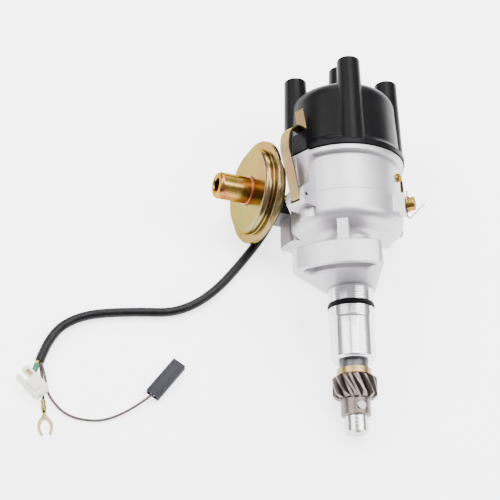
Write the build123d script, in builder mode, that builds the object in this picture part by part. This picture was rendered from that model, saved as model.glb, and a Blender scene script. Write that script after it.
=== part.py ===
"""Ignition distributor of a four-cylinder engine, gear driven, with a vacuum unit.

It is built standing up, in millimetres: the shaft is the Z axis, the cap is at the top, and
Z = 0 is the seat of the clamp ear on the engine. Bearings are degrees round the shaft, from
the front (-Y) towards the right (+X). At the end every piece is laid on its back on a bench.
"""
import os
from math import acos, atan2, cos, degrees, pi, radians, sin, sqrt, tan

from build123d import *

os.makedirs("parts", exist_ok=True)

# Clearances
running = 0.05            # radial, between a turning piece and its bearing
slide_gap = 0.3           # between pieces that pass each other

# Shaft
shaft_r = 7.4
shaft_tip_z = -96.0
shaft_shoulder_z = 45.0   # the weight carrier sits on this shoulder
spindle_r = 6.0           # upper end, inside the reluctor sleeve
spindle_top_z = 83.0
tip_chamfer = 1.6

# Pilot tube, clamp ear and neck
pilot_r = 15.0
pilot_lower_r = 14.5
pilot_end_z = -48.5
pilot_land_z = -22.0
bush_r = 9.5
o_ring_r = 15.5
o_ring_wire_r = 1.75
o_ring_z = -12.2
ear_thickness = 15.0
ear_r = 55.0
ear_left_bearing = -48.0
boss_r = 17.0
slot_r = 45.0
slot_width = 10.0
slot_from = -35.0
slot_to = 9.0
slot_chamfer = 1.2
rib_bearing = -10.0
rib_width = 7.0

# Bowl
bowl_bottom_z = 36.5
bowl_floor = 5.0
bowl_lower_r = 37.5
bowl_step_z = 57.0
bowl_r = 37.0
groove_r = 36.3
groove_z = 80.5
groove_height = 2.0
rim_r = 40.0
rim_top_z = 87.5
bowl_inner_r = 33.5
bowl_rounding = 8.0
rebate_r = 36.0
rebate_depth = 2.5

# Clips and their lugs
clip_bearings = {"front": -48.0, "rear": 132.0}
clip_width = 8.0
clip_sheet = 1.0
pin_r = 1.5
pin_radius = 45.5         # from the shaft axis
pin_z = 53.5
lug_width = 16.0
lug_r = 48.0
lug_bottom_z = 47.0
pad_r = 42.0
pocket_r = 42.5

# Vacuum unit, on its own axis that misses the shaft
vacuum_bearing = -62.9
vacuum_x = -60.7
vacuum_y = 2.0
vacuum_z = 72.2
vacuum_rim_r = 35.3
cup_r = 29.3
cup_depth = 6.5
shell_sheet = 1.0
back_depth = 10.0
back_r = 27.0
port_r = 9.0
port_length = 23.0
port_thread_r = 4.6
port_thread_depth = 12.0
port_bore_r = 2.2
port_washer_r = 10.3
port_washer_thickness = 1.2
rod_width = 6.0
rod_thickness = 1.5
bracket_sheet = 2.0
bracket_width = 22.0
bracket_top_z = 82.0

# Shelf cast on the bowl for the vacuum unit
shelf_top_z = 55.0
shelf_start = 21.0        # from the rim plane of the vacuum unit, towards the shaft
shelf_front = 13.0
shelf_back = 9.0

# Plates in the bowl
base_plate_z = 67.0
base_plate_thickness = 2.0
collar_r = 13.0
collar_bore_r = 10.5
plate_z = 69.4
plate_thickness = 1.6
plate_r = 30.0
post_r = 1.6
base_screw_bearings = (65.0, -175.0)
base_screw_z = 73.0

# Governor
carrier_thickness = 3.0
weight_z = 48.3
weight_thickness = 5.0
yoke_z = 54.0
yoke_thickness = 2.5
pivot_radius = 21.0
pivot_r = 2.0
drive_radius = 14.0
drive_pin_r = 1.5
sleeve_r = 8.5
sleeve_top_z = 92.0

# Reluctor and pickup
reluctor_r = 14.0
reluctor_z = 73.5
reluctor_height = 6.0
air_gap = 0.4
pickup_bearing = 100.0

# Rotor and cap
tower_bearing = 5.5
tower_circle_r = 32.0
tower_r = 7.7
tower_foot_r = 9.3
tower_top_z = 153.5
centre_tower_top_z = 164.0
centre_tower_foot_r = 9.2
socket_r = 4.2
socket_depth = 13.5
centre_socket_depth = 19.5
skirt_r = 41.0
bell_lower_r = 37.6
bell_upper_r = 36.0
crown_z = 139.0
crown_wall = 10.0
shoulder_r = 11.0
cap_wall = 3.6
electrode_radius = 29.5
electrode_r = 2.0
electrode_bottom_z = 102.0
rotor_top_z = 104.0
blade_thickness = 1.4
spark_gap = 0.7
brush_r = 2.4
brush_length = 13.0
brush_holder_r = 6.0
brush_contact_z = 109.0
ledge_r = 39.2
ledge_z = 103.55
ledge_slope = 40.0
cap_boss_r = 42.5
cap_boss_width = 13.0

# Drive gear
teeth = 13
gear_top_z = -58.0
gear_bottom_z = -73.5
gear_tip_r = 14.3
gear_pitch_r = 12.4
gear_root_r = 10.3
helix_angle = 27.0
hub_r = 9.5
hub_bottom_z = -84.5
gear_pin_r = 3.0
gear_pin_z = -79.0
gear_pin_bearing = 18.0
washer_r = 11.1
washer_top_z = -54.0
collar_lower_r = 9.3

# Side boss with the earth screw, its face turned a little towards the front
earth_bearing = 75.0
earth_face = 41.5         # distance of the face from the shaft axis
earth_offset = -10.5      # of the screw from the radius at that bearing
earth_z = 51.5
boss_bottom_z = 45.0
boss_top_z = 57.5
side_boss_half = 6.0
earth_screw_r = 2.5
earth_screw_length = 9.0

# Screws and gland
small_screw_r = 1.5
bracket_screw_sides = (-1.5, 5.5)  # sideways, from the axis of the vacuum unit
bracket_screw_gap = 4.65           # from the bowl to the nearer screw
bracket_screw_stagger = 2.1        # how much nearer to the shaft the other one is
bracket_screw_head_r = 2.7
bracket_screw_length = 8.0
gland_bearing = -146.0    # where its axis crosses the wall
gland_axis_bearing = -105.0
gland_z = 77.8
gland_r = 4.2
o_ring_groove = 3.8

# Heights and sizes of the turning and held pieces
bowl_floor_z = bowl_bottom_z + bowl_floor
upper_washer_thickness = 3.3
gear_pin_half = 10.2
pivot_top_z = 58.0
weight_outer_r = 25.0
weight_inner_r = 12.0
weight_eye_r = 4.6
drive_pin_top_z = 57.0
spring_post_x = -14.4
spring_post_y = 16.5
spring_post_r = 1.2
governor_spring_z = 56.5
governor_spring_r = 1.6
governor_wire_r = 0.3
governor_spring_turns = 7
fork_half = 1.9
yoke_width = 9.0
yoke_reach = 21.0
sleeve_step_z = 80.5
rotor_bore_r = 7.2
rotor_flat = 1.0
collar_top_z = 72.5
base_tab_height = 9.0
base_screw_head_r = 2.9
base_screw_head = 2.0
post_bearing = vacuum_bearing - 90.0
post_height = 2.2
magnet_thickness = 1.8
core_foot_r = 25.0
core_end_r = 28.8
module_height = 9.0
module_foot = 2.5
module_inner_r = 17.0
module_outer_r = 28.5
module_screw_bearings = (-83.0, 23.0)
module_screw_circle_r = 22.7
module_screw_head_r = 2.8
rotor_hub_r = 9.5
rotor_arm_thickness = 6.0
rotor_arm_width = 10.0
rotor_arm_r = 24.0
contact_tip_r = electrode_radius - electrode_r - spark_gap

# Vacuum unit's small sizes
diaphragm_sheet = 0.6
seam_top = 1.4            # of the two flanges held in the rolled rim
seam_lap = 2.8            # from the rim's outside to the edge of its lip
diaphragm_edge_r = vacuum_rim_r - shell_sheet - 0.2
piston_r = 18.3
piston_back = 5.2         # inset of the face that the diaphragm lies on
port_stub_r = 5.0
rod_neck_r = 5.0
rod_stud_r = 2.4
diaphragm_spring_r = 12.5
diaphragm_wire_r = 0.6
bracket_floor_end = 30.0
bracket_cheek_end = 19.5

# Clip strip, as radius from the shaft and height
clip_knee = (51.0, 70.0)
clip_points = ((56.3, 86.0), (54.5, 98.0), (46.0, 105.0), (38.6, 103.2), (41.5, 118.5))
clip_radii = (60.0, 20.0, 12.0, 7.0, 1.5)
curl_r = 2.1
curl_turn = 250.0

# Cap's small sizes
electrode_disc = 2.5
electrode_disc_r = 3.9
cap_seat_z = rim_top_z + 0.02
disc_bottom_z = tower_top_z - socket_depth - electrode_disc
centre_disc_bottom_z = centre_tower_top_z - centre_socket_depth - electrode_disc
cap_roof_z = crown_z - crown_wall
cap_post_z = 112.0
brush_holder_z = 113.0
spring_seat_z = 136.0
brush_wire_r = 0.25
earth_washer_r = 5.4
earth_washer_thickness = 1.2
earth_head_r = 4.55
earth_head = 4.0
gland_in = 5.0
gland_out = 9.0
cord_r = 3.1
wire_r = 0.85
hook_wire_r = 0.5

# How it lies: on the rim of the vacuum unit, the edge of the bowl and the gear
lying_pitch = 11.385
lying_roll = 6.419

# Fittings at the end of the cord
connector_middle_z = 5.0
connector_height = 6.0
connector_width = 22.0
connector_length = 12.0
way_offset = 4.8
way_depth = 8.6
crimp_z = 1.85
blade_middle_z = 3.1
blade_length = 28.5

pieces = []


def keep(part, name):
    """Label a finished piece and put it on the list that is laid down and written out."""
    part.label = name
    pieces.append(part)


def outward_plane(bearing, radius=0.0, height=0.0):
    """A plane that faces away from the shaft: its X runs round the body and its Y is up."""
    b = radians(bearing)
    return Plane(
        origin=(radius * sin(b), -radius * cos(b), height),
        x_dir=(cos(b), sin(b), 0),
        z_dir=(sin(b), -cos(b), 0),
    )


def radial_plane(bearing):
    """A plane through the shaft axis: its X runs outward and its Y is up."""
    b = radians(bearing)
    return Plane(origin=(0, 0, 0), x_dir=(sin(b), -cos(b), 0), z_dir=(-cos(b), -sin(b), 0))


def bearing_point(bearing, radius):
    """The plan position at a bearing and radius."""
    b = radians(bearing)
    return (radius * sin(b), -radius * cos(b))


def round_corners(sketch, corners):
    """Fillet the corners of a sketch that lie nearest the points given as keys."""
    for point, radius in corners.items():
        fillet(sketch.vertices().sort_by_distance(point)[0], radius=radius)


def ring(outer_r, inner_r, z0, z1, name):
    """A plain ring round the shaft."""
    with BuildPart() as piece:
        with BuildSketch(Plane.XY.offset(z0)):
            Circle(outer_r)
            Circle(inner_r, mode=Mode.SUBTRACT)
        extrude(amount=z1 - z0)
    keep(piece.part, name)
    return piece.part


# The vacuum unit's axis points out of the bowl. "Inset" runs from its rim plane inward.
vacuum_plane = Plane(
    origin=(vacuum_x, vacuum_y, vacuum_z),
    x_dir=(cos(radians(vacuum_bearing)), sin(radians(vacuum_bearing)), 0),
    z_dir=(sin(radians(vacuum_bearing)), -cos(radians(vacuum_bearing)), 0),
)
inward = vacuum_plane.z_dir * -1
rod_foot = -(vacuum_x * inward.X + vacuum_y * inward.Y)      # inset of the point nearest the shaft
rod_offset = abs(vacuum_x * inward.Y - vacuum_y * inward.X)  # how far the axis misses the shaft
bowl_half_chord = sqrt(max(bowl_lower_r, bowl_r) ** 2 - (rod_offset + bracket_screw_sides[0]) ** 2)
bracket_screw_inset = rod_foot - bowl_half_chord - bracket_screw_gap
bracket_screws_at = (
    (bracket_screw_inset, bracket_screw_sides[0]),
    (bracket_screw_inset + bracket_screw_stagger, bracket_screw_sides[1]),
)


def arm_plan(height):
    """A level plane on the vacuum unit's axis: X is the inset, Y runs towards the back."""
    return Plane(origin=(vacuum_x, vacuum_y, height), x_dir=inward, z_dir=(0, 0, 1))


gland_plane = Plane(
    origin=(*bearing_point(gland_bearing, bowl_r - 1), gland_z),
    x_dir=(0, 0, 1),
    z_dir=(*bearing_point(gland_axis_bearing, 1), 0),
)
earth_face_plane = outward_plane(earth_bearing)
earth_plane = Plane(
    origin=earth_face_plane.from_local_coords((earth_offset, earth_z, earth_face)),
    x_dir=earth_face_plane.x_dir,
    z_dir=earth_face_plane.z_dir,
)
side_boss_outline = [
    tuple(earth_face_plane.from_local_coords((across, 0, out)))[:2]
    for across, out in (
        (earth_offset - side_boss_half, 20),
        (earth_offset - side_boss_half, earth_face),
        (earth_offset + side_boss_half, earth_face),
        (earth_offset + side_boss_half, 20),
    )
]


# Housing: one casting, turned inside and at the pilot and rim
ear_right_y = -sqrt(ear_r**2 - boss_r**2)
ear_left = bearing_point(ear_left_bearing, ear_r)
ear_front = bearing_point(ear_left_bearing / 2, ear_r)
boss_tangent = bearing_point(ear_left_bearing - degrees(acos(boss_r / ear_r)), boss_r)

# Clamp ear, a fan with one side straight and the other tangent to the boss
with BuildPart() as ear:
    with BuildSketch(Plane.XY) as ear_plan:
        with BuildLine():
            ThreePointArc(ear_left, ear_front, (boss_r, ear_right_y))
            Polyline((boss_r, ear_right_y), (boss_r, 0), (0, 0), boss_tangent, ear_left)
        make_face()
        round_corners(ear_plan, {ear_left: 9.0, (boss_r, ear_right_y): 5.0})
    extrude(amount=ear_thickness)
    outer_edges = ear.edges().filter_by(lambda e: e.center().Y < -boss_r and abs(e.center().X) < ear_r)
    fillet(outer_edges.filter_by(lambda e: e.center().Z > ear_thickness - 0.1), radius=1.2)

with BuildPart() as housing:
    with BuildSketch(Plane.XZ) as outside:
        with BuildLine():
            Polyline(
                (0, pilot_end_z),
                (pilot_lower_r, pilot_end_z),
                (pilot_lower_r, pilot_land_z),
                (pilot_r, pilot_land_z + 1.5),
                (pilot_r, 0),
                (boss_r, 0),
                (boss_r, bowl_bottom_z),
                (bowl_lower_r, bowl_bottom_z),
                (bowl_lower_r, bowl_step_z),
                (bowl_r, bowl_step_z + 0.8),
                (bowl_r, groove_z),
                (groove_r, groove_z),
                (groove_r, groove_z + groove_height),
                (rim_r, groove_z + groove_height + 1.0),
                (rim_r, rim_top_z),
                (0, rim_top_z),
                (0, pilot_end_z),
            )
        make_face()
        round_corners(
            outside,
            {
                (bowl_lower_r, bowl_bottom_z): bowl_rounding,
                (boss_r, bowl_bottom_z): 5.0,
                (rim_r, groove_z + groove_height + 1.0): 1.2,
                (rim_r, rim_top_z): 0.6,
            },
        )
        chamfer(outside.vertices().sort_by_distance((pilot_lower_r, pilot_end_z))[0], length=1.4)
    revolve(axis=Axis.Z)
    add(ear.part)

    # Ribs from the neck to the bowl, above the ear and behind it
    with BuildSketch(radial_plane(rib_bearing)):
        Polygon((5, 10), (33, 10), (33.5, 40), (5, 40), align=None)
    extrude(amount=rib_width / 2, both=True)
    with BuildSketch(radial_plane(rib_bearing + 180)):
        Polygon((5, 4), (boss_r + 0.5, 4), (31, 40), (5, 40), align=None)
    extrude(amount=rib_width / 2, both=True)

    # Shelf under the vacuum unit
    with BuildSketch(arm_plan(bowl_bottom_z)) as shelf:
        Polygon(
            (shelf_start, -shelf_front),
            (rod_foot, -shelf_front),
            (rod_foot, shelf_back),
            (shelf_start, shelf_back),
            align=None,
        )
        round_corners(shelf, {(shelf_start, -shelf_front): 5.0, (shelf_start, shelf_back): 5.0})
    extrude(amount=shelf_top_z - bowl_bottom_z)

    # Lugs for the clips: a tall pad, with two cheeks below and a pocket between them
    for bearing in clip_bearings.values():
        with BuildSketch(radial_plane(bearing)):
            Polygon(
                (30, lug_bottom_z),
                (lug_r - 2, lug_bottom_z),
                (lug_r, lug_bottom_z + 3),
                (lug_r, pin_z + 4),
                (pad_r + 1, pin_z + 9),
                (pad_r, rim_top_z - 1),
                (30, rim_top_z - 1),
                align=None,
            )
        extrude(amount=lug_width / 2, both=True)
        with BuildSketch(radial_plane(bearing)):
            Polygon(
                (pocket_r - 1.5, lug_bottom_z + 2.5),
                (lug_r + 5, lug_bottom_z + 2.5),
                (lug_r + 5, rim_top_z),
                (pad_r, rim_top_z),
                align=None,
            )
        extrude(amount=clip_width / 2 + slide_gap, both=True, mode=Mode.SUBTRACT)
        with BuildSketch(radial_plane(bearing)):
            with Locations((pin_radius, pin_z)):
                Circle(pin_r)
        extrude(amount=lug_width, both=True, mode=Mode.SUBTRACT)
        with BuildSketch(Plane.XY.offset(bowl_bottom_z + bowl_rounding / 2)):
            with Locations(bearing_point(bearing, bowl_lower_r - 2)):
                Circle(6)
        extrude(amount=lug_bottom_z - bowl_bottom_z - bowl_rounding / 2)

    # Side boss that carries the earth screw
    with BuildSketch(Plane.XY.offset(boss_bottom_z)) as side_plan:
        with BuildLine():
            Polyline(*side_boss_outline, close=True)
        make_face()
    extrude(amount=boss_top_z - boss_bottom_z)

    # Inside of the bowl, the rebate for the cap and the bore for the bushes
    with BuildSketch(Plane.XZ) as inside:
        Polygon(
            (0, bowl_bottom_z + bowl_floor),
            (bowl_inner_r, bowl_bottom_z + bowl_floor),
            (bowl_inner_r, rim_top_z - rebate_depth),
            (rebate_r, rim_top_z - rebate_depth),
            (rebate_r, rim_top_z + 1),
            (0, rim_top_z + 1),
            align=None,
        )
        round_corners(inside, {(bowl_inner_r, bowl_bottom_z + bowl_floor): 4.0})
    revolve(axis=Axis.Z, mode=Mode.SUBTRACT)
    with Locations((0, 0, pilot_end_z)):
        Cylinder(bush_r, bowl_bottom_z + bowl_floor - pilot_end_z + 1,
                 align=(Align.CENTER, Align.CENTER, Align.MIN), mode=Mode.SUBTRACT)

    # Groove for the O-ring
    with BuildSketch(Plane.XY.offset(o_ring_z - o_ring_groove / 2)):
        Circle(pilot_r + 1)
        Circle(o_ring_r - 2 * o_ring_wire_r - 0.02, mode=Mode.SUBTRACT)
    extrude(amount=o_ring_groove, mode=Mode.SUBTRACT)

    # Curved slot for the clamp bolt, with a bevelled mouth underneath
    slot_line = Edge.make_circle(slot_r, start_angle=slot_from - 90, end_angle=slot_to - 90)
    with BuildSketch(Plane.XY):
        SlotArc(slot_line, slot_width)
    extrude(amount=ear_thickness, mode=Mode.SUBTRACT)
    chamfer(housing.edges(Select.LAST).group_by(Axis.Z)[0], length=slot_chamfer)

    # Way in for the pull rod, and the hole of the cord gland
    with BuildSketch(vacuum_plane.offset(-shelf_start)):
        Rectangle(rod_width + 2, rod_thickness + 3)
    extrude(amount=-(rod_foot - shelf_start), mode=Mode.SUBTRACT)
    with BuildSketch(gland_plane):
        Circle(gland_r)
    extrude(amount=10, both=True, mode=Mode.SUBTRACT)

    # Threads and holes for screws: the bracket, the base plate and the earth lead
    with BuildSketch(arm_plan(shelf_top_z)):
        with Locations(*bracket_screws_at):
            Circle(small_screw_r)
    extrude(amount=-bracket_screw_length, mode=Mode.SUBTRACT)
    for bearing in base_screw_bearings:
        with BuildSketch(outward_plane(bearing, bowl_inner_r - 2, base_screw_z)):
            Circle(small_screw_r)
        extrude(amount=bowl_r - bowl_inner_r + 4, mode=Mode.SUBTRACT)
    with BuildSketch(earth_plane):
        Circle(earth_screw_r)
    extrude(amount=-earth_screw_length, mode=Mode.SUBTRACT)
keep(housing.part, "housing")


# Turning parts, from the tip of the shaft upward
ring(bush_r, shaft_r + running, pilot_end_z + 0.5, pilot_end_z + 20.5, "lower_bush")
ring(bush_r, shaft_r + running, bowl_floor_z - 21.5, bowl_floor_z, "upper_bush")
ring(11.0, shaft_r + running, bowl_floor_z, bowl_floor_z + upper_washer_thickness, "upper_washer")
ring(collar_lower_r, shaft_r, washer_top_z, pilot_end_z - 0.2, "shaft_collar")
ring(washer_r, shaft_r, gear_top_z, washer_top_z, "thrust_washer")

with BuildPart() as o_ring:
    with BuildSketch(Plane.XZ):
        with Locations((o_ring_r - o_ring_wire_r, o_ring_z)):
            Circle(o_ring_wire_r)
    revolve(axis=Axis.Z)
keep(o_ring.part, "o_ring")

gear_pin_plane = outward_plane(gear_pin_bearing, 0, gear_pin_z)
with BuildPart() as gear_pin:
    with BuildSketch(gear_pin_plane):
        Circle(gear_pin_r)
    extrude(amount=gear_pin_half, both=True)
    chamfer(gear_pin.faces().filter_by(GeomType.PLANE).edges(), length=0.4)
keep(gear_pin.part, "gear_pin")

with BuildPart() as shaft:
    with BuildSketch(Plane.XZ) as shaft_profile:
        Polygon(
            (0, shaft_tip_z),
            (shaft_r, shaft_tip_z),
            (shaft_r, shaft_shoulder_z),
            (spindle_r, shaft_shoulder_z),
            (spindle_r, spindle_top_z),
            (0, spindle_top_z),
            align=None,
        )
        chamfer(shaft_profile.vertices().sort_by_distance((shaft_r, shaft_tip_z))[0], length=tip_chamfer)
        chamfer(shaft_profile.vertices().sort_by_distance((spindle_r, spindle_top_z))[0], length=0.8)
    revolve(axis=Axis.Z)
    with BuildSketch(gear_pin_plane):
        Circle(gear_pin_r)
    extrude(amount=20, both=True, mode=Mode.SUBTRACT)
keep(shaft.part, "shaft")

# Helical gear: a twisted toothed bar, cut by a turned blank that bevels its ends
gear_length = gear_top_z - gear_bottom_z
gear_twist = -degrees(tan(radians(helix_angle)) * gear_length / gear_pitch_r)
tooth_pitch = 360.0 / teeth
gear_points = []
for tooth in range(teeth):
    middle = tooth * tooth_pitch
    for turn, radius in (
        (-9.6, gear_root_r),
        (-6.9, gear_pitch_r),
        (-3.2, gear_tip_r),
        (3.2, gear_tip_r),
        (6.9, gear_pitch_r),
        (9.6, gear_root_r),
    ):
        gear_points.append(bearing_point(middle + turn, radius))
with BuildSketch() as gear_plan:
    Polygon(*gear_points, align=None)
toothed_bar = Solid.extrude_linear_with_rotation(
    gear_plan.sketch.faces()[0], (0, 0, 0), (0, 0, gear_length), gear_twist
).moved(Location((0, 0, gear_bottom_z)))
with BuildPart() as drive_gear:
    add(toothed_bar)
    with BuildSketch(Plane.XZ):
        Polygon(
            (0, gear_bottom_z),
            (gear_root_r + 1.0, gear_bottom_z),
            (gear_tip_r + 0.2, gear_bottom_z + 2.2),
            (gear_tip_r + 0.2, gear_top_z - 2.2),
            (gear_root_r + 1.0, gear_top_z),
            (0, gear_top_z),
            align=None,
        )
    revolve(axis=Axis.Z, mode=Mode.INTERSECT)
    with BuildSketch(Plane.XZ) as hub_profile:
        Polygon(
            (0, hub_bottom_z),
            (hub_r, hub_bottom_z),
            (hub_r, gear_bottom_z + 0.5),
            (0, gear_bottom_z + 0.5),
            align=None,
        )
        chamfer(hub_profile.vertices().sort_by_distance((hub_r, hub_bottom_z))[0], length=0.8)
    revolve(axis=Axis.Z)
    with Locations((0, 0, hub_bottom_z - 1)):
        Cylinder(shaft_r, 40, align=(Align.CENTER, Align.CENTER, Align.MIN), mode=Mode.SUBTRACT)
    with BuildSketch(gear_pin_plane):
        Circle(gear_pin_r)
    extrude(amount=20, both=True, mode=Mode.SUBTRACT)
keep(drive_gear.part, "drive_gear")

# Governor: a carrier with two pivots, two weights whose pins drive the forked yoke
with BuildPart() as weight_carrier:
    with BuildSketch(Plane.XY.offset(shaft_shoulder_z)):
        Circle(13)
        Rectangle(2 * pivot_radius, 11)
        with Locations((pivot_radius, 0), (-pivot_radius, 0)):
            Circle(5.5)
        Circle(spindle_r, mode=Mode.SUBTRACT)
    extrude(amount=carrier_thickness)
    with BuildSketch(Plane.XY.offset(shaft_shoulder_z + carrier_thickness)):
        with Locations((pivot_radius, 0), (-pivot_radius, 0)):
            Circle(pivot_r)
    extrude(amount=pivot_top_z - shaft_shoulder_z - carrier_thickness)
keep(weight_carrier.part, "weight_carrier")

for name, side in (("flyweight_a", 1), ("flyweight_b", -1)):
    with BuildPart() as flyweight:
        with BuildSketch(Plane.XY.offset(weight_z)):
            with BuildLine():
                band = [
                    (radius * cos(radians(turn)) * side, radius * sin(radians(turn)) * side)
                    for radius, turn in (
                        (weight_outer_r, 2), (weight_outer_r, 70), (weight_outer_r, 138),
                        (weight_inner_r, 138), (weight_inner_r, 70), (weight_inner_r, 20),
                    )
                ]
                ThreePointArc(*band[0:3])
                Line(band[2], band[3])
                ThreePointArc(*band[3:6])
                Line(band[5], band[0])
            make_face()
            with Locations((side * pivot_radius, 0)):
                Circle(weight_eye_r)
                Circle(pivot_r + running, mode=Mode.SUBTRACT)
        extrude(amount=weight_thickness)
        with BuildSketch(Plane.XY.offset(weight_z + weight_thickness)):
            with Locations((0, side * drive_radius)):
                Circle(drive_pin_r)
        extrude(amount=drive_pin_top_z - weight_z - weight_thickness)
        with BuildSketch(Plane.XY.offset(weight_z + weight_thickness)):
            with Locations((side * spring_post_x, side * spring_post_y)):
                Circle(spring_post_r)
        extrude(amount=pivot_top_z - weight_z - weight_thickness)
    keep(flyweight.part, name)

# Each governor spring runs from the tail of one weight to the pivot of the other
with BuildPart() as governor_springs:
    for side in (1, -1):
        start = Vector(side * spring_post_x, side * spring_post_y, governor_spring_z)
        stop = Vector(-side * pivot_radius, 0, governor_spring_z)
        along = (stop - start).normalized()
        foot = start + along * (spring_post_r + slide_gap + governor_wire_r)
        length = (stop - start).length - spring_post_r - pivot_r - 2 * (slide_gap + governor_wire_r)
        turns = governor_spring_turns
        coil_plane = Plane(origin=foot, x_dir=(0, 0, 1), z_dir=along)
        coil = Helix(length / turns, length, governor_spring_r).moved(coil_plane.location)
        with BuildSketch(Plane(origin=coil @ 0, z_dir=coil % 0)):
            Circle(governor_wire_r)
        sweep(path=Wire([coil]) if isinstance(coil, Edge) else coil, is_frenet=True)
keep(governor_springs.part, "governor_springs")

with BuildPart() as reluctor_sleeve:
    with BuildSketch(Plane.XZ):
        Polygon(
            (spindle_r + running, yoke_z),
            (sleeve_r, yoke_z),
            (sleeve_r, sleeve_step_z),
            (rotor_bore_r, sleeve_step_z),
            (rotor_bore_r, sleeve_top_z),
            (4.0, sleeve_top_z),
            (4.0, spindle_top_z + 0.5),
            (spindle_r + running, spindle_top_z + 0.5),
            align=None,
        )
    revolve(axis=Axis.Z)
    with BuildSketch(Plane.XY.offset(yoke_z)):
        Circle(11)
        Rectangle(yoke_width, 2 * yoke_reach)
        Circle(spindle_r + running, mode=Mode.SUBTRACT)
        for side in (1, -1):
            with Locations((0, side * drive_radius)):
                Circle(fork_half, mode=Mode.SUBTRACT)
            with Locations((0, side * (drive_radius + 10))):
                Rectangle(2 * fork_half, 20, mode=Mode.SUBTRACT)
    extrude(amount=yoke_thickness)
    with BuildSketch(Plane.XY.offset(sleeve_step_z)):
        with Locations((0, -rotor_bore_r)):
            Rectangle(12, 2 * rotor_flat)
    extrude(amount=sleeve_top_z - sleeve_step_z, mode=Mode.SUBTRACT)
keep(reluctor_sleeve.part, "reluctor_sleeve")

with BuildPart() as reluctor:
    with BuildSketch(Plane.XY.offset(reluctor_z)):
        Circle(10.5)
        with PolarLocations(0, 4, start_angle=pickup_bearing - 90):
            with Locations((reluctor_r / 2, 0)):
                Rectangle(reluctor_r, 5.0)
        Circle(sleeve_r, mode=Mode.SUBTRACT)
    extrude(amount=reluctor_height)
    with BuildSketch(Plane.XY.offset(reluctor_z)):
        Circle(reluctor_r)
    extrude(amount=reluctor_height, mode=Mode.INTERSECT)
keep(reluctor.part, "reluctor")

# Fixed plate with its collar, and the plate that the vacuum unit turns
with BuildPart() as base_plate:
    with BuildSketch(Plane.XY.offset(base_plate_z)):
        Circle(bowl_inner_r - 0.1)
        Circle(collar_bore_r, mode=Mode.SUBTRACT)
    extrude(amount=base_plate_thickness)
    with BuildSketch(Plane.XY.offset(base_plate_z)):
        Circle(collar_r)
        Circle(collar_bore_r, mode=Mode.SUBTRACT)
    extrude(amount=collar_top_z - base_plate_z)
    for bearing in base_screw_bearings:
        with BuildSketch(Plane.XY.offset(base_plate_z)):
            Circle(bowl_inner_r - 0.1)
            Circle(bowl_inner_r - 1.4, mode=Mode.SUBTRACT)
            with Locations(bearing_point(bearing, bowl_inner_r)):
                Rectangle(10, 10, rotation=bearing, mode=Mode.INTERSECT)
        extrude(amount=base_tab_height)
        with BuildSketch(outward_plane(bearing, bowl_inner_r - 4, base_screw_z)):
            Circle(small_screw_r)
        extrude(amount=8, mode=Mode.SUBTRACT)
keep(base_plate.part, "base_plate")

with BuildPart() as base_plate_screws:
    for bearing in base_screw_bearings:
        with BuildSketch(outward_plane(bearing, bowl_inner_r - 2.0, base_screw_z)):
            Circle(small_screw_r)
        extrude(amount=bowl_r - bowl_inner_r + 2.0)
        with BuildSketch(outward_plane(bearing, bowl_r, base_screw_z)):
            Circle(base_screw_head_r)
        extrude(amount=base_screw_head)
        with BuildSketch(outward_plane(bearing, bowl_r + base_screw_head, base_screw_z)):
            Rectangle(2 * base_screw_head_r, 0.8)
        extrude(amount=-0.8, mode=Mode.SUBTRACT)
keep(base_plate_screws.part, "base_plate_screws")

with BuildPart() as pickup_plate:
    with BuildSketch(Plane.XY.offset(plate_z)):
        Circle(plate_r)
        with Locations(bearing_point(post_bearing, rod_offset)):
            Circle(3.0)
        Circle(collar_r + running, mode=Mode.SUBTRACT)
    extrude(amount=plate_thickness)
    with BuildSketch(Plane.XY.offset(plate_z + plate_thickness)):
        with Locations(bearing_point(post_bearing, rod_offset)):
            Circle(post_r)
    extrude(amount=post_height)
keep(pickup_plate.part, "pickup_plate")

plate_top_z = plate_z + plate_thickness
ring(collar_r + 2.0, collar_r, plate_top_z + 0.05, collar_top_z, "plate_ring")

pickup_plane = radial_plane(pickup_bearing)
with BuildPart() as pickup_core:
    with BuildSketch(pickup_plane):
        pole_z = reluctor_z + reluctor_height / 2
        Polygon(
            (reluctor_r + air_gap, pole_z - 2.5),
            (core_foot_r, pole_z - 2.5),
            (core_foot_r, plate_top_z + magnet_thickness),
            (core_end_r, plate_top_z + magnet_thickness),
            (core_end_r, pole_z + 2.5),
            (reluctor_r + air_gap, pole_z + 2.5),
            align=None,
        )
    extrude(amount=2.5, both=True)
keep(pickup_core.part, "pickup_core")

with BuildPart() as pickup_magnet:
    with BuildSketch(pickup_plane):
        with Locations(((core_foot_r + core_end_r) / 2, plate_top_z + magnet_thickness / 2)):
            Rectangle(core_end_r - core_foot_r, magnet_thickness)
    extrude(amount=4.5, both=True)
keep(pickup_magnet.part, "pickup_magnet")

with BuildPart() as pickup_coil:
    for radius, start, stop in ((4.9, 17.0, 18.0), (4.2, 18.0, 23.6), (4.9, 23.6, 24.6)):
        with BuildSketch(outward_plane(pickup_bearing, start, pole_z)):
            Circle(radius)
            Rectangle(5.0, 5.0, mode=Mode.SUBTRACT)
        extrude(amount=stop - start)
keep(pickup_coil.part, "pickup_coil")


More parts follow.
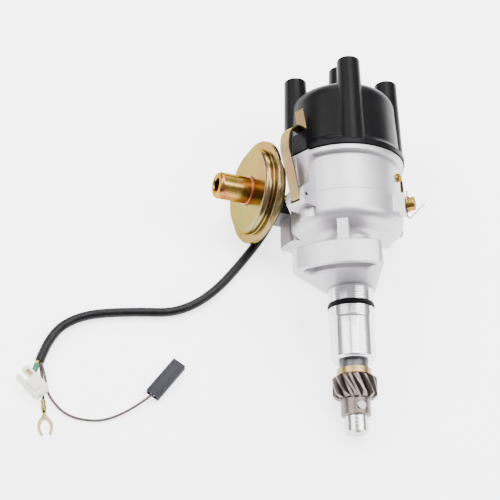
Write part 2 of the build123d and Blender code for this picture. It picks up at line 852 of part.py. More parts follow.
def arc_block(radius_in, radius_out, bearing_from, bearing_to, height):
    """A curved block on the current sketch height, between two radii and two bearings."""
    middle = (bearing_from + bearing_to) / 2
    with BuildSketch(Plane.XY.offset(height)) as block:
        with BuildLine():
            ThreePointArc(
                bearing_point(bearing_from, radius_in),
                bearing_point(middle, radius_in),
                bearing_point(bearing_to, radius_in),
            )
            Line(bearing_point(bearing_to, radius_in), bearing_point(bearing_to, radius_out))
            ThreePointArc(
                bearing_point(bearing_to, radius_out),
                bearing_point(middle, radius_out),
                bearing_point(bearing_from, radius_out),
            )
            Line(bearing_point(bearing_from, radius_out), bearing_point(bearing_from, radius_in))
        make_face()
        fillet(block.vertices(), radius=1.5)
    return block.sketch


with BuildPart() as igniter_module:
    add(arc_block(module_inner_r, module_outer_r, -90, 30, plate_top_z))
    extrude(amount=module_foot)
    add(arc_block(module_inner_r, module_outer_r, -72, 12, plate_top_z + module_foot))
    extrude(amount=module_height - module_foot)
    with BuildSketch(Plane.XY.offset(plate_top_z)):
        for bearing in module_screw_bearings:
            with Locations(bearing_point(bearing, module_screw_circle_r)):
                Circle(small_screw_r)
    extrude(amount=module_foot, mode=Mode.SUBTRACT)
keep(igniter_module.part, "igniter_module")

with BuildPart() as module_screws:
    for bearing in module_screw_bearings:
        with BuildSketch(Plane.XY.offset(plate_top_z)):
            with Locations(bearing_point(bearing, module_screw_circle_r)):
                Circle(small_screw_r)
        extrude(amount=module_foot)
        with BuildSketch(Plane.XY.offset(plate_top_z + module_foot)):
            with Locations(bearing_point(bearing, module_screw_circle_r)):
                Circle(module_screw_head_r)
        extrude(amount=1.8)
keep(module_screws.part, "module_screws")

# Rotor arm and its brass contact
with BuildPart() as rotor_arm:
    with BuildSketch(Plane.XY.offset(sleeve_step_z + 0.5)):
        Circle(rotor_hub_r)
    extrude(amount=rotor_top_z - sleeve_step_z - 0.5)
    with BuildSketch(Plane.XY.offset(rotor_top_z - rotor_arm_thickness)) as arm_shape:
        with Locations(Location(bearing_point(tower_bearing, 10), tower_bearing)):
            Rectangle(rotor_arm_width, 2 * (rotor_arm_r - 10), rotation=0)
        with Locations(Location(bearing_point(tower_bearing + 180, 7), tower_bearing)):
            Rectangle(15, 16)
    extrude(amount=rotor_arm_thickness)
    with BuildSketch(Plane.XY.offset(sleeve_step_z)):
        Circle(rotor_bore_r)
        with Locations((0, -rotor_bore_r)):
            Rectangle(12, 2 * rotor_flat, mode=Mode.SUBTRACT)
    extrude(amount=sleeve_top_z - sleeve_step_z, mode=Mode.SUBTRACT)
keep(rotor_arm.part, "rotor_arm")

with BuildPart() as rotor_contact:
    with BuildSketch(Plane.XY.offset(rotor_top_z)):
        with Locations(Location(bearing_point(tower_bearing, contact_tip_r / 2 - 2), tower_bearing)):
            Rectangle(6, contact_tip_r + 4)
    extrude(amount=blade_thickness)
    with BuildSketch(Plane.XY.offset(rotor_top_z - 3)):
        with Locations(Location(bearing_point(tower_bearing, (rotor_arm_r + contact_tip_r) / 2), tower_bearing)):
            Rectangle(6, contact_tip_r - rotor_arm_r)
    extrude(amount=3)
    with BuildSketch(Plane.XY.offset(rotor_top_z + blade_thickness)):
        Circle(3.2)
    extrude(amount=brush_contact_z - running - rotor_top_z - blade_thickness)
    fillet(rotor_contact.edges().filter_by(GeomType.CIRCLE).group_by(Axis.Z)[-1], radius=1.0)
    with BuildSketch(Plane.XY.offset(rotor_top_z - 4)):
        Circle(contact_tip_r)
    extrude(amount=20, mode=Mode.INTERSECT)
keep(rotor_contact.part, "rotor_contact")


# Vacuum unit: profiles drawn as radius against inset, then turned about its axis
can_profile = Plane(
    origin=(vacuum_x, vacuum_y, vacuum_z),
    x_dir=(0, 0, 1),
    z_dir=Vector(0, 0, 1).cross(inward),
)
can_axis = Axis((vacuum_x, vacuum_y, vacuum_z), inward)


def turned(points, corners, name):
    """Turn a closed profile about the vacuum unit's axis and keep the result."""
    with BuildPart() as piece:
        with BuildSketch(can_profile) as profile:
            Polygon(*points, align=None)
            round_corners(profile, corners)
        revolve(axis=can_axis)
    keep(piece.part, name)
    return piece.part


turned(
    (
        (port_stub_r, -cup_depth),
        (cup_r, -cup_depth),
        (cup_r, -shell_sheet),
        (vacuum_rim_r, -shell_sheet),
        (vacuum_rim_r, seam_top + shell_sheet),
        (vacuum_rim_r - seam_lap, seam_top + shell_sheet),
        (vacuum_rim_r - seam_lap, seam_top),
        (diaphragm_edge_r + 0.1, seam_top),
        (diaphragm_edge_r + 0.1, 0),
        (cup_r - shell_sheet, 0),
        (cup_r - shell_sheet, shell_sheet - cup_depth),
        (port_stub_r, shell_sheet - cup_depth),
    ),
    {
        (cup_r, -cup_depth): 3.0,
        (cup_r - shell_sheet, shell_sheet - cup_depth): 2.0,
        (vacuum_rim_r, -shell_sheet): 0.8,
        (cup_r, -shell_sheet): 0.6,
        (vacuum_rim_r, seam_top + shell_sheet): 0.6,
    },
    "vacuum_front_shell",
)
turned(
    (
        (rod_neck_r, back_depth - shell_sheet),
        (back_r - shell_sheet, back_depth - shell_sheet),
        (back_r - shell_sheet, diaphragm_sheet),
        (diaphragm_edge_r, diaphragm_sheet),
        (diaphragm_edge_r, seam_top),
        (back_r, seam_top),
        (back_r, back_depth),
        (rod_neck_r, back_depth),
    ),
    {
        (back_r - shell_sheet, back_depth - shell_sheet): 2.0,
        (back_r, back_depth): 3.0,
    },
    "vacuum_back_shell",
)
turned(
    (
        (diaphragm_edge_r, 0),
        (diaphragm_edge_r, diaphragm_sheet),
        (back_r - 1.8, diaphragm_sheet),
        (piston_r + 0.7, piston_back + 0.8),
        (rod_stud_r, piston_back + 0.8),
        (rod_stud_r, piston_back),
        (piston_r + 0.1, piston_back),
        (back_r - 2.6, 0),
    ),
    {},
    "vacuum_diaphragm",
)
turned(
    (
        (rod_stud_r, piston_back - 1.0),
        (piston_r - 0.8, piston_back - 1.0),
        (piston_r - 0.8, piston_back - 3.0),
        (piston_r, piston_back - 3.0),
        (piston_r, piston_back),
        (rod_stud_r, piston_back),
    ),
    {},
    "diaphragm_plate",
)
port_face = -cup_depth - port_washer_thickness
turned(
    (
        (port_stub_r, -cup_depth),
        (port_washer_r, -cup_depth),
        (port_washer_r, port_face),
        (port_stub_r, port_face),
    ),
    {(port_washer_r, port_face): 0.4},
    "port_washer",
)
turned(
    (
        (port_bore_r, -4.0),
        (port_stub_r + 1.2, -4.0),
        (port_stub_r + 1.2, shell_sheet - cup_depth),
        (port_stub_r, shell_sheet - cup_depth),
        (port_stub_r, port_face),
        (port_r, port_face),
        (port_r, port_face - port_length + 0.8),
        (port_thread_r + 0.8, port_face - port_length + 0.8),
        (port_thread_r, port_face - port_length + 1.6),
        (port_thread_r, port_face - port_length + port_thread_depth),
        (port_bore_r, port_face - port_length + port_thread_depth + 1.4),
    ),
    {(port_r, port_face - port_length + 0.8): 2.6},
    "vacuum_port",
)

# Spring in the vacuum unit, between the front shell and the plate of the diaphragm
with BuildPart() as diaphragm_spring:
    spring_top = -cup_depth + shell_sheet + diaphragm_wire_r + 0.05
    spring_length = 4.2 - diaphragm_wire_r - 0.05 - spring_top
    coil_plane = Plane(origin=Vector(vacuum_x, vacuum_y, vacuum_z) + inward * spring_top,
                       x_dir=(0, 0, 1), z_dir=inward)
    coil = Helix(spring_length / 2.5, spring_length, diaphragm_spring_r).moved(coil_plane.location)
    with BuildSketch(Plane(origin=coil @ 0, z_dir=coil % 0)):
        Circle(diaphragm_wire_r)
    sweep(path=coil, is_frenet=True)
keep(diaphragm_spring.part, "diaphragm_spring")

# Pull rod: a stud through the diaphragm, then a flat strip to the post on the plate
rod_plan = arm_plan(vacuum_z - rod_thickness / 2)
with BuildPart() as pull_rod:
    with BuildSketch(vacuum_plane.offset(-4.2)):
        Circle(rod_stud_r)
    extrude(amount=-4.3)
    with BuildSketch(vacuum_plane.offset(-6.0)):
        Circle(6.0)
    extrude(amount=-0.9)
    with BuildSketch(rod_plan):
        with Locations(((6.5 + rod_foot) / 2, 0)):
            Rectangle(rod_foot - 6.5, rod_width)
        with Locations((rod_foot, 0)):
            Circle(rod_width / 2)
        with Locations((rod_foot, -0.15)):
            RectangleRounded(2 * post_r + 0.3, 2 * post_r + 0.6, 1.0, mode=Mode.SUBTRACT)
    extrude(amount=rod_thickness)
keep(pull_rod.part, "pull_rod")

# Bent bracket between the vacuum unit and the shelf of the housing
with BuildPart() as vacuum_bracket:
    with BuildSketch(vacuum_plane.offset(-back_depth)) as end_plate:
        with Locations((0, (bracket_top_z + shelf_top_z) / 2 - vacuum_z)):
            Rectangle(bracket_width, bracket_top_z - shelf_top_z)
        fillet(end_plate.vertices().group_by(Axis.Y)[-1], radius=5.0)
        Circle(rod_neck_r, mode=Mode.SUBTRACT)
    extrude(amount=-bracket_sheet)
    with BuildSketch(arm_plan(shelf_top_z)):
        with Locations(((back_depth + bracket_floor_end) / 2, 0)):
            Rectangle(bracket_floor_end - back_depth, bracket_width)
        with Locations(*bracket_screws_at):
            Circle(small_screw_r, mode=Mode.SUBTRACT)
    extrude(amount=bracket_sheet)
    for inner_side in (bracket_width / 2 - bracket_sheet, -bracket_width / 2):
        cheek_foot = Vector(vacuum_x, vacuum_y, shelf_top_z) + vacuum_plane.x_dir * inner_side
        with BuildSketch(Plane(origin=cheek_foot, x_dir=inward, z_dir=vacuum_plane.x_dir)):
            Polygon(
                (back_depth, 0),
                (bracket_cheek_end, 0),
                (bracket_cheek_end, bracket_sheet + 1),
                (back_depth + bracket_sheet, bracket_top_z - shelf_top_z - 5),
                (back_depth, bracket_top_z - shelf_top_z - 5),
                align=None,
            )
        extrude(amount=bracket_sheet)
    with Locations((0, 0, shelf_top_z - 1)):
        Cylinder(bowl_lower_r + slide_gap, bracket_sheet + 2,
                 align=(Align.CENTER, Align.CENTER, Align.MIN), mode=Mode.SUBTRACT)
keep(vacuum_bracket.part, "vacuum_bracket")

with BuildPart() as bracket_screws:
    with BuildSketch(arm_plan(shelf_top_z + bracket_sheet)):
        with Locations(*bracket_screws_at):
            Circle(small_screw_r)
    extrude(amount=-bracket_sheet - bracket_screw_length + 0.5)
    with BuildSketch(arm_plan(shelf_top_z + bracket_sheet)):
        with Locations(*bracket_screws_at):
            Circle(bracket_screw_head_r)
    extrude(amount=2.0)
keep(bracket_screws.part, "bracket_screws")

# Sprung clips: one strip each, curled round a pin in the lug
pin_to_knee = Vector(clip_knee[0] - pin_radius, clip_knee[1] - pin_z, 0)
curl_start = degrees(atan2(pin_to_knee.Y, pin_to_knee.X) - acos(curl_r / pin_to_knee.length))
curl_from = (
    pin_radius + curl_r * cos(radians(curl_start)),
    pin_z + curl_r * sin(radians(curl_start)),
)
for name, bearing in clip_bearings.items():
    with BuildPart() as clip:
        with BuildSketch(radial_plane(bearing)):
            with BuildLine() as clip_line:
                FilletPolyline(curl_from, clip_knee, *clip_points, radius=clip_radii)
                CenterArc((pin_radius, pin_z), curl_r, curl_start, -curl_turn)
            trace(line_width=clip_sheet)
        extrude(amount=clip_width / 2, both=True)
    keep(clip.part, "clip_" + name)

with BuildPart() as clip_pins:
    for bearing in clip_bearings.values():
        with BuildSketch(radial_plane(bearing)):
            with Locations((pin_radius, pin_z)):
                Circle(pin_r)
                Circle(pin_r - 0.6, mode=Mode.SUBTRACT)
        extrude(amount=lug_width / 2, both=True)
keep(clip_pins.part, "clip_pins")

# Cap: a turned bell with four plug towers, a centre tower and a ledge for each clip
tower_points = [bearing_point(tower_bearing + 90 * i, tower_circle_r) for i in range(4)]
stem_points = [bearing_point(tower_bearing + 90 * i, electrode_radius) for i in range(4)]


with BuildPart() as cap:
    with BuildSketch(Plane.XZ) as bell:
        with BuildLine():
            Polyline(
                (bell_lower_r, cap_seat_z + 9.5),
                (bell_upper_r, crown_z - shoulder_r),
                (bell_upper_r, crown_z),
                (0, crown_z),
                (0, cap_seat_z - rebate_depth + 0.2),
                (rebate_r - 0.15, cap_seat_z - rebate_depth + 0.2),
                (rebate_r - 0.15, cap_seat_z),
                (skirt_r, cap_seat_z),
                (skirt_r, cap_seat_z + 3.5),
            )
            ThreePointArc(
                (skirt_r, cap_seat_z + 3.5),
                (bell_lower_r + 1.0, cap_seat_z + 5.7),
                (bell_lower_r, cap_seat_z + 9.5),
            )
        make_face()
        round_corners(bell, {(bell_upper_r, crown_z): shoulder_r, (skirt_r, cap_seat_z): 0.4})
    revolve(axis=Axis.Z)
    towers = [(x, y, tower_foot_r, cap_seat_z + 3.5, tower_top_z) for x, y in tower_points]
    towers.append((0, 0, centre_tower_foot_r, crown_z - 5, centre_tower_top_z))
    for x, y, foot_r, foot_z, top_z in towers:
        with BuildSketch(Plane(origin=(x, y, 0), x_dir=(1, 0, 0), z_dir=(0, -1, 0))) as side_view:
            Polygon((0, foot_z), (foot_r, foot_z), (tower_r, top_z), (0, top_z), align=None)
            round_corners(side_view, {(tower_r, top_z): 1.0})
        revolve(axis=Axis((x, y, 0), (0, 0, 1)))
    for bearing in clip_bearings.values():
        with BuildSketch(radial_plane(bearing)):
            Polygon(
                (bowl_inner_r, cap_seat_z),
                (cap_boss_r, cap_seat_z),
                (cap_boss_r, ledge_z - (cap_boss_r - ledge_r) * tan(radians(ledge_slope))),
                (bowl_inner_r, ledge_z + (ledge_r - bowl_inner_r) * tan(radians(ledge_slope))),
                align=None,
            )
        extrude(amount=cap_boss_width / 2, both=True)

    # Inside of the bell, the posts of the electrodes and the holder of the brush
    with BuildSketch(Plane.XZ) as hollow:
        Polygon(
            (0, cap_seat_z - 5),
            (bowl_inner_r, cap_seat_z - 5),
            (bell_upper_r - cap_wall, cap_roof_z),
            (0, cap_roof_z),
            align=None,
        )
        round_corners(hollow, {(bell_upper_r - cap_wall, cap_roof_z): 6.0})
    revolve(axis=Axis.Z, mode=Mode.SUBTRACT)
    with BuildSketch(Plane.XY.offset(cap_post_z)):
        with Locations(*stem_points):
            Circle(4.0)
    extrude(amount=cap_roof_z + 2 - cap_post_z)
    with BuildSketch(Plane.XY.offset(brush_holder_z)):
        Circle(brush_holder_r)
    extrude(amount=cap_roof_z + 2 - brush_holder_z)

    # Sockets for the leads, the way of each electrode and the bore of the brush
    with BuildSketch(Plane.XY.offset(tower_top_z)):
        with Locations(*tower_points):
            Circle(socket_r)
    extrude(amount=-socket_depth, mode=Mode.SUBTRACT)
    with BuildSketch(Plane.XY.offset(centre_tower_top_z)):
        Circle(socket_r)
    extrude(amount=-centre_socket_depth, mode=Mode.SUBTRACT)
    with BuildSketch(Plane.XY.offset(disc_bottom_z)):
        with Locations(*tower_points):
            Circle(electrode_disc_r)
    extrude(amount=electrode_disc, mode=Mode.SUBTRACT)
    with BuildSketch(Plane.XY.offset(centre_disc_bottom_z)):
        Circle(electrode_disc_r)
    extrude(amount=electrode_disc, mode=Mode.SUBTRACT)
    with BuildSketch(Plane.XY.offset(electrode_bottom_z)):
        with Locations(*stem_points):
            Circle(electrode_r)
    extrude(amount=disc_bottom_z - electrode_bottom_z, mode=Mode.SUBTRACT)
    with BuildSketch(Plane.XY.offset(brush_holder_z - 1)):
        Circle(brush_r + running)
    extrude(amount=centre_disc_bottom_z - brush_holder_z + 1, mode=Mode.SUBTRACT)
keep(cap.part, "cap")

with BuildPart() as plug_electrodes:
    with BuildSketch(Plane.XY.offset(disc_bottom_z)):
        with Locations(*tower_points):
            Circle(electrode_disc_r)
    extrude(amount=electrode_disc)
    with BuildSketch(Plane.XY.offset(electrode_bottom_z)):
        with Locations(*stem_points):
            Circle(electrode_r)
    extrude(amount=disc_bottom_z - electrode_bottom_z)
keep(plug_electrodes.part, "plug_electrodes")

with BuildPart() as centre_electrode:
    with BuildSketch(Plane.XY.offset(centre_disc_bottom_z)):
        Circle(electrode_disc_r)
    extrude(amount=electrode_disc)
    with BuildSketch(Plane.XY.offset(centre_disc_bottom_z)):
        Circle(brush_r + running)
    extrude(amount=spring_seat_z - centre_disc_bottom_z)
keep(centre_electrode.part, "centre_electrode")

with BuildPart() as brush:
    with BuildSketch(Plane.XY.offset(brush_contact_z)):
        Circle(brush_r)
    extrude(amount=brush_length)
    chamfer(brush.edges().group_by(Axis.Z)[0], length=0.5)
keep(brush.part, "brush")

with BuildPart() as brush_spring:
    spring_foot = brush_contact_z + brush_length + brush_wire_r + 0.05
    spring_length = spring_seat_z - brush_wire_r - 0.05 - spring_foot
    coil = Helix(spring_length / 5, spring_length, brush_r - brush_wire_r - 0.1).moved(Location((0, 0, spring_foot)))
    with BuildSketch(Plane(origin=coil @ 0, z_dir=coil % 0)):
        Circle(brush_wire_r)
    sweep(path=coil, is_frenet=True)
keep(brush_spring.part, "brush_spring")

# Earth screw and its washer on the side boss
washer_plane = earth_plane.offset(2 * hook_wire_r + 0.05)
with BuildPart() as earth_washer:
    with BuildSketch(washer_plane):
        Circle(earth_washer_r)
        Circle(earth_screw_r, mode=Mode.SUBTRACT)
    extrude(amount=earth_washer_thickness)
    chamfer(earth_washer.edges().group_by(Axis(earth_plane.origin, earth_plane.z_dir))[-1], length=0.25)
keep(earth_washer.part, "earth_washer")

earth_head_plane = washer_plane.offset(earth_washer_thickness)
with BuildPart() as earth_screw:
    with BuildSketch(earth_head_plane):
        Circle(earth_screw_r)
    extrude(amount=-earth_washer_thickness - earth_screw_length)
    with BuildSketch(earth_head_plane):
        Circle(earth_head_r)
    extrude(amount=earth_head)
    fillet(
        earth_screw.faces().sort_by(Axis(earth_plane.origin, earth_plane.z_dir))[-1].edges(),
        radius=1.4,
    )
    with BuildSketch(earth_head_plane.offset(earth_head)):
        Rectangle(5.2, 1.0)
        Rectangle(1.0, 5.2)
    extrude(amount=-1.6, mode=Mode.SUBTRACT)
keep(earth_screw.part, "earth_screw")

# Bent wire held under the washer of the earth screw: across, up and out from the screw
hook_points = [
    earth_plane.from_local_coords(point)
    for point in (
        (2.6, 11.0, 0.55),
        (3.3, 4.6, 0.55),
        (3.3, -2.6, 0.55),
        (-2.0, -7.6, 0.55),
        (-0.6, -11.0, 1.6),
        (2.6, 0.5, 12.0),
    )
]
with BuildPart() as wire_hook:
    with BuildLine() as hook_line:
        FilletPolyline(*hook_points, radius=1.2)
    with BuildSketch(Plane(origin=hook_line.line @ 0, z_dir=hook_line.line % 0)):
        Circle(hook_wire_r)
    sweep(path=hook_line.line)
keep(wire_hook.part, "wire_hook")

# Rubber gland in the wall of the bowl, set at a slant
with BuildPart() as cord_gland:
    with BuildSketch(gland_plane.offset(-gland_in)):
        Circle(gland_r)
        Circle(cord_r + 0.02, mode=Mode.SUBTRACT)
    extrude(amount=gland_in + gland_out)
keep(cord_gland.part, "cord_gland")

# Lay every piece on its back. The bench frame has Z up and the cap towards +Y.
up = Vector(
    sin(radians(lying_roll)) * cos(radians(lying_pitch)),
    -cos(radians(lying_roll)) * cos(radians(lying_pitch)),
    sin(radians(lying_pitch)),
)
bench_x = Vector(0, 0, 1).cross(up).normalized()
to_bench = Plane(origin=(0, 0, 0), x_dir=bench_x, z_dir=up).location.inverse()
laid = [piece.moved(to_bench) for piece in pieces]
lowest = min(piece.bounding_box().min.Z for piece in laid)
laid = [piece.moved(Location((0, 0, -lowest))) for piece in laid]
print("lifted by", round(-lowest, 3))


def on_bench(x, y, z=0.0):
    """A place on the bench, before the origin moves to the middle of the object."""
    return Vector(x, y, z)


def bench_wire(points, radius, name, smallest_bend):
    """A round lead along straight runs joined by tangent arcs, with its bends printed."""
    radii = []
    for before, here, after in zip(points, points[1:], points[2:]):
        turn = (here - before).get_angle(after - here)
        shorter = min((here - before).length, (after - here).length)
        radii.append(0.45 * shorter / tan(radians(turn / 2)))
    with BuildPart() as lead:
        with BuildLine() as line:
            FilletPolyline(*points, radius=radii)
        with BuildSketch(Plane(origin=line.line @ 0, z_dir=line.line % 0)):
            Circle(radius)
        sweep(path=line.line)
    length = sum(edge.length for edge in line.edges())
    expected = length * pi * radius**2
    print(name, "length", round(length, 1), "smallest bend", round(min(radii), 1),
          "allowed", smallest_bend, "volume against section by length", round(lead.part.volume / expected, 4))
    lead.part.label = name
    laid.append(lead.part)
    return lead.part


# Cord from the gland along the bench, and the three leads that come out of its sleeve
wall_point = to_bench * Location(gland_plane.origin)
gland_tip = to_bench * Location(gland_plane.origin + gland_plane.z_dir * 10)
wall_point = wall_point.position + Vector(0, 0, -lowest)
gland_tip = gland_tip.position + Vector(0, 0, -lowest)
leaving = (gland_tip - wall_point).normalized()
rest_z = cord_r + 0.05
first_bend = wall_point + leaving * ((wall_point.Z - rest_z) / -leaving.Z)
print("cord leaves at", wall_point, "and meets the bench at", first_bend)
bench_wire(
    (
        wall_point - leaving * 4.0,
        first_bend,
        on_bench(-57.0, 50.0, rest_z),
        on_bench(-99.6, -5.4, rest_z),
        on_bench(-148.0, -5.4, rest_z),
        on_bench(-176.5, -9.1, rest_z),
        on_bench(-194.5, -23.4, rest_z),
        on_bench(-199.6, -43.0, rest_z),
    ),
    cord_r,
    "cord_sleeve",
    3 * 2 * cord_r,
)
low = wire_r + 0.05
yellow_start = on_bench(-200.9, -42.8, 3.6)
yellow_bend = on_bench(-201.6, -50.4, connector_middle_z)
bench_wire(
    (yellow_start, yellow_bend, on_bench(-205.5, -54.15, connector_middle_z)),
    wire_r,
    "yellow_wire",
    3 * 2 * wire_r,
)
bench_wire(
    (
        on_bench(-199.6, -43.3, 1.7),
        on_bench(-197.9, -50.9, low),
        on_bench(-196.7, -59.9, low),
        on_bench(-195.9, -67.9, low + 0.15),
        on_bench(-195.65, -72.1, crimp_z - 0.1),
    ),
    wire_r,
    "black_wire",
    3 * 2 * wire_r,
)
bench_wire(
    (
        on_bench(-198.45, -43.95, 3.6),
        on_bench(-195.3, -53.4, low),
        on_bench(-193.2, -66.4, low),
        on_bench(-178.5, -82.2, low),
        on_bench(-149.3, -82.9, low),
        on_bench(-127.4, -64.75, blade_middle_z),
    ),
    wire_r,
    "brown_wire",
    3 * 2 * wire_r,
)

# Green sleeve on the yellow lead
sleeve_way = (yellow_bend - yellow_start).normalized()
with BuildPart() as green_sleeve:
    with BuildSketch(Plane(origin=yellow_start + sleeve_way * 1.9, z_dir=sleeve_way)):
        Circle(1.7)
        Circle(wire_r + 0.02, mode=Mode.SUBTRACT)
    extrude(amount=3.3)
green_sleeve.part.label = "green_sleeve"
laid.append(green_sleeve.part)

# Two-way connector: X along the pair of ways, Y towards the leads
connector_plane = Plane(origin=(-203.5, -58.9, 0), x_dir=(0.695, -0.719, 0), z_dir=(0, 0, 1))
with BuildPart() as two_way_connector:
    with BuildSketch(connector_plane.offset(connector_middle_z - connector_height / 2)):
        RectangleRounded(connector_width, connector_length, 1.0)
    extrude(amount=connector_height)
    with BuildSketch(connector_plane.offset(connector_middle_z + connector_height / 2)):
        with Locations((0, -1.5)):
            Rectangle(5, 7)
    extrude(amount=1.2)
    with BuildSketch(connector_plane.offset(connector_middle_z - 2.1)):
        with Locations((-way_offset, -connector_length / 2), (way_offset, -connector_length / 2)):
            Rectangle(5.4, 2 * way_depth)
    extrude(amount=4.2, mode=Mode.SUBTRACT)
    rear_face = Plane(
        origin=connector_plane.from_local_coords((0, connector_length / 2, connector_middle_z)),
        x_dir=connector_plane.x_dir,
        z_dir=connector_plane.y_dir,
    )
    with BuildSketch(rear_face):
        with Locations((-way_offset, 0), (way_offset, 0)):
            Circle(wire_r + 0.35)
    extrude(amount=-connector_length / 2, mode=Mode.SUBTRACT)
two_way_connector.part.label = "two_way_connector"
laid.append(two_way_connector.part)

with BuildPart() as connector_terminals:
    with BuildSketch(connector_plane.offset(connector_middle_z - 2.1)):
        with Locations((-way_offset, -connector_length / 2 + 5.2), (way_offset, -connector_length / 2 + 5.2)):
            Rectangle(3.2, 6.4)
    extrude(amount=0.8)
connector_terminals.part.label = "connector_terminals"
laid.append(connector_terminals.part)

# Fork terminal: a crimped barrel and a flat fork
fork_plane = Plane(origin=(-195.7, -70.8, 0), x_dir=(0.132, -0.991, 0), z_dir=(0, 0, 1))
with BuildPart() as fork_terminal:
    with BuildSketch(Plane(origin=fork_plane.from_local_coords((-1, 0, crimp_z)), z_dir=fork_plane.x_dir)):
        Circle(1.75)
        Circle(wire_r + 0.5, mode=Mode.SUBTRACT)
    extrude(amount=6.0)
    with BuildSketch(fork_plane.offset(0.3)) as fork_plan:
        Polygon(
            (4.6, -1.5), (9.0, -1.5), (12.5, -4.2), (20.5, -4.2), (22.0, -3.4), (22.0, 3.4),
            (20.5, 4.2), (12.5, 4.2), (9.0, 1.5), (4.6, 1.5), align=None,
        )
        with Locations((13.6, 0)):
            Circle(2.2, mode=Mode.SUBTRACT)
        with Locations((18.6, 0)):
            Rectangle(10.0, 4.4, mode=Mode.SUBTRACT)
    extrude(amount=0.8)
fork_terminal.part.label = "fork_terminal"
laid.append(fork_terminal.part)

# Blade connector on the brown lead, and its terminal
blade_plane = Plane(origin=(-119.4, -54.4, 0), x_dir=(0.606, 0.795, 0), z_dir=(0, 0, 1))
with BuildPart() as blade_connector:
    with BuildSketch(blade_plane.offset(blade_middle_z - 3.0)):
        RectangleRounded(blade_length, 9.8, 1.2)
    extrude(amount=6.0)
    with BuildSketch(blade_plane.offset(blade_middle_z - 1.6)):
        with Locations((blade_length / 2 - 11, 0)):
            Rectangle(22.0, 7.2)
    extrude(amount=3.2, mode=Mode.SUBTRACT)
    with BuildSketch(Plane(origin=blade_plane.from_local_coords((-blade_length / 2 - 1, 0, blade_middle_z)),
                           z_dir=blade_plane.x_dir)):
        Circle(wire_r + 0.6)
    extrude(amount=10, mode=Mode.SUBTRACT)
blade_connector.part.label = "blade_connector"
laid.append(blade_connector.part)

with BuildPart() as blade_terminal:
    with BuildSketch(blade_plane.offset(blade_middle_z - 1.6)):
        with Locations((0.5, 0)):
            Rectangle(15.0, 6.2)
    extrude(amount=0.8)
blade_terminal.part.label = "blade_terminal"
laid.append(blade_terminal.part)

# The origin goes under the middle of everything but the leads and what is on them, on the bench
leads = (
    "cord_sleeve",
    "yellow_wire",
    "black_wire",
    "brown_wire",
    "green_sleeve",
    "two_way_connector",
    "connector_terminals",
    "fork_terminal",
    "blade_connector",
    "blade_terminal",
)
boxes = [piece.bounding_box() for piece in laid if piece.label not in leads]
middle_x = (min(box.min.X for box in boxes) + max(box.max.X for box in boxes)) / 2
middle_y = (min(box.min.Y for box in boxes) + max(box.max.Y for box in boxes)) / 2
print("origin moved by", round(-middle_x, 3), round(-middle_y, 3))
to_middle = Location((-middle_x, -middle_y, 0))
for piece in laid:
    placed = piece.moved(to_middle)
    print(piece.label, round(piece.volume, 1), piece.is_valid, len(piece.solids()))
    export_step(placed, f"parts/{piece.label}.step")
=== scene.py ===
"""Looks of an ignition distributor that lies on its back on a pale bench."""
import math

import bmesh
import bpy
from mathutils import Matrix, Vector


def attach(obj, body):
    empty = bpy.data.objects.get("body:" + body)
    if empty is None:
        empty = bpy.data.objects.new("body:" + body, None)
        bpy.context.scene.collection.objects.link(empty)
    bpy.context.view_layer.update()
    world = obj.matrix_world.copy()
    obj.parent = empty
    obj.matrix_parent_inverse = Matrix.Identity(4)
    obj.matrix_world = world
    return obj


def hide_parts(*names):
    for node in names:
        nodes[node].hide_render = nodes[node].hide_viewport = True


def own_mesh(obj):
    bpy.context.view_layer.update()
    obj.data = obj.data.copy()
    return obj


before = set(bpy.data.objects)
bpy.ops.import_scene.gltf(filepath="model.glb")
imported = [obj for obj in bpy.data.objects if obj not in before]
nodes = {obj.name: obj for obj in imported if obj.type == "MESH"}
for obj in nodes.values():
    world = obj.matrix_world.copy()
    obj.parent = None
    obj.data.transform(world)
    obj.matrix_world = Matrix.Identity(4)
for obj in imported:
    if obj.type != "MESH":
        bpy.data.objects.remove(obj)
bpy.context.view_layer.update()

# The bench: a white sweep of matt paper, which isn't part of the object.
# It lies just under the lowest solid, so that the two never share a plane, and it glows
# a little, as a sweep that is lit too brightly does.
sweep_half_width = 3.0
sweep_gap = 0.0004


def shade(code):
    """An sRGB hex colour as linear red, green, blue and alpha."""
    values = [int(code[i:i + 2], 16) / 255 for i in (1, 3, 5)]
    return [v / 12.92 if v <= 0.04045 else ((v + 0.055) / 1.055) ** 2.4 for v in values] + [1.0]


def add_node(tree, kind, inputs=None, **settings):
    """Adds one node, sets its properties, and fills or links its inputs."""
    node = tree.nodes.new(kind)
    for name, value in settings.items():
        setattr(node, name, value)
    for name, value in (inputs or {}).items():
        if isinstance(value, bpy.types.NodeSocket):
            tree.links.new(value, node.inputs[name])
        else:
            node.inputs[name].default_value = value
    return node


def new_material(name, **values):
    """A material with its tree and its shader, whose plain inputs are set."""
    material = bpy.data.materials.new(name)
    material.use_nodes = True
    shader = material.node_tree.nodes["Principled BSDF"]
    for key, value in values.items():
        shader.inputs[key.replace("_", " ")].default_value = value
    return material, material.node_tree, shader


# Matt paper: no gloss, and a cloud of fibres about 3 mm across that can hardly be seen
paper, paper_tree, paper_shader = new_material("matt_paper", Roughness=0.9, Emission_Strength=2.6)
paper_place = add_node(paper_tree, "ShaderNodeTexCoord")
paper_fibre = add_node(
    paper_tree,
    "ShaderNodeTexNoise",
    {"Vector": paper_place.outputs["Object"], "Scale": 350.0, "Detail": 2.0},
)
paper_tone = add_node(
    paper_tree,
    "ShaderNodeMix",
    {0: paper_fibre.outputs["Fac"], 6: shade("#fdfdfd"), 7: shade("#f9f9fa")},
    data_type="RGBA",
)
paper_tree.links.new(paper_tone.outputs[2], paper_shader.inputs["Base Color"])
paper_tree.links.new(paper_tone.outputs[2], paper_shader.inputs["Emission Color"])

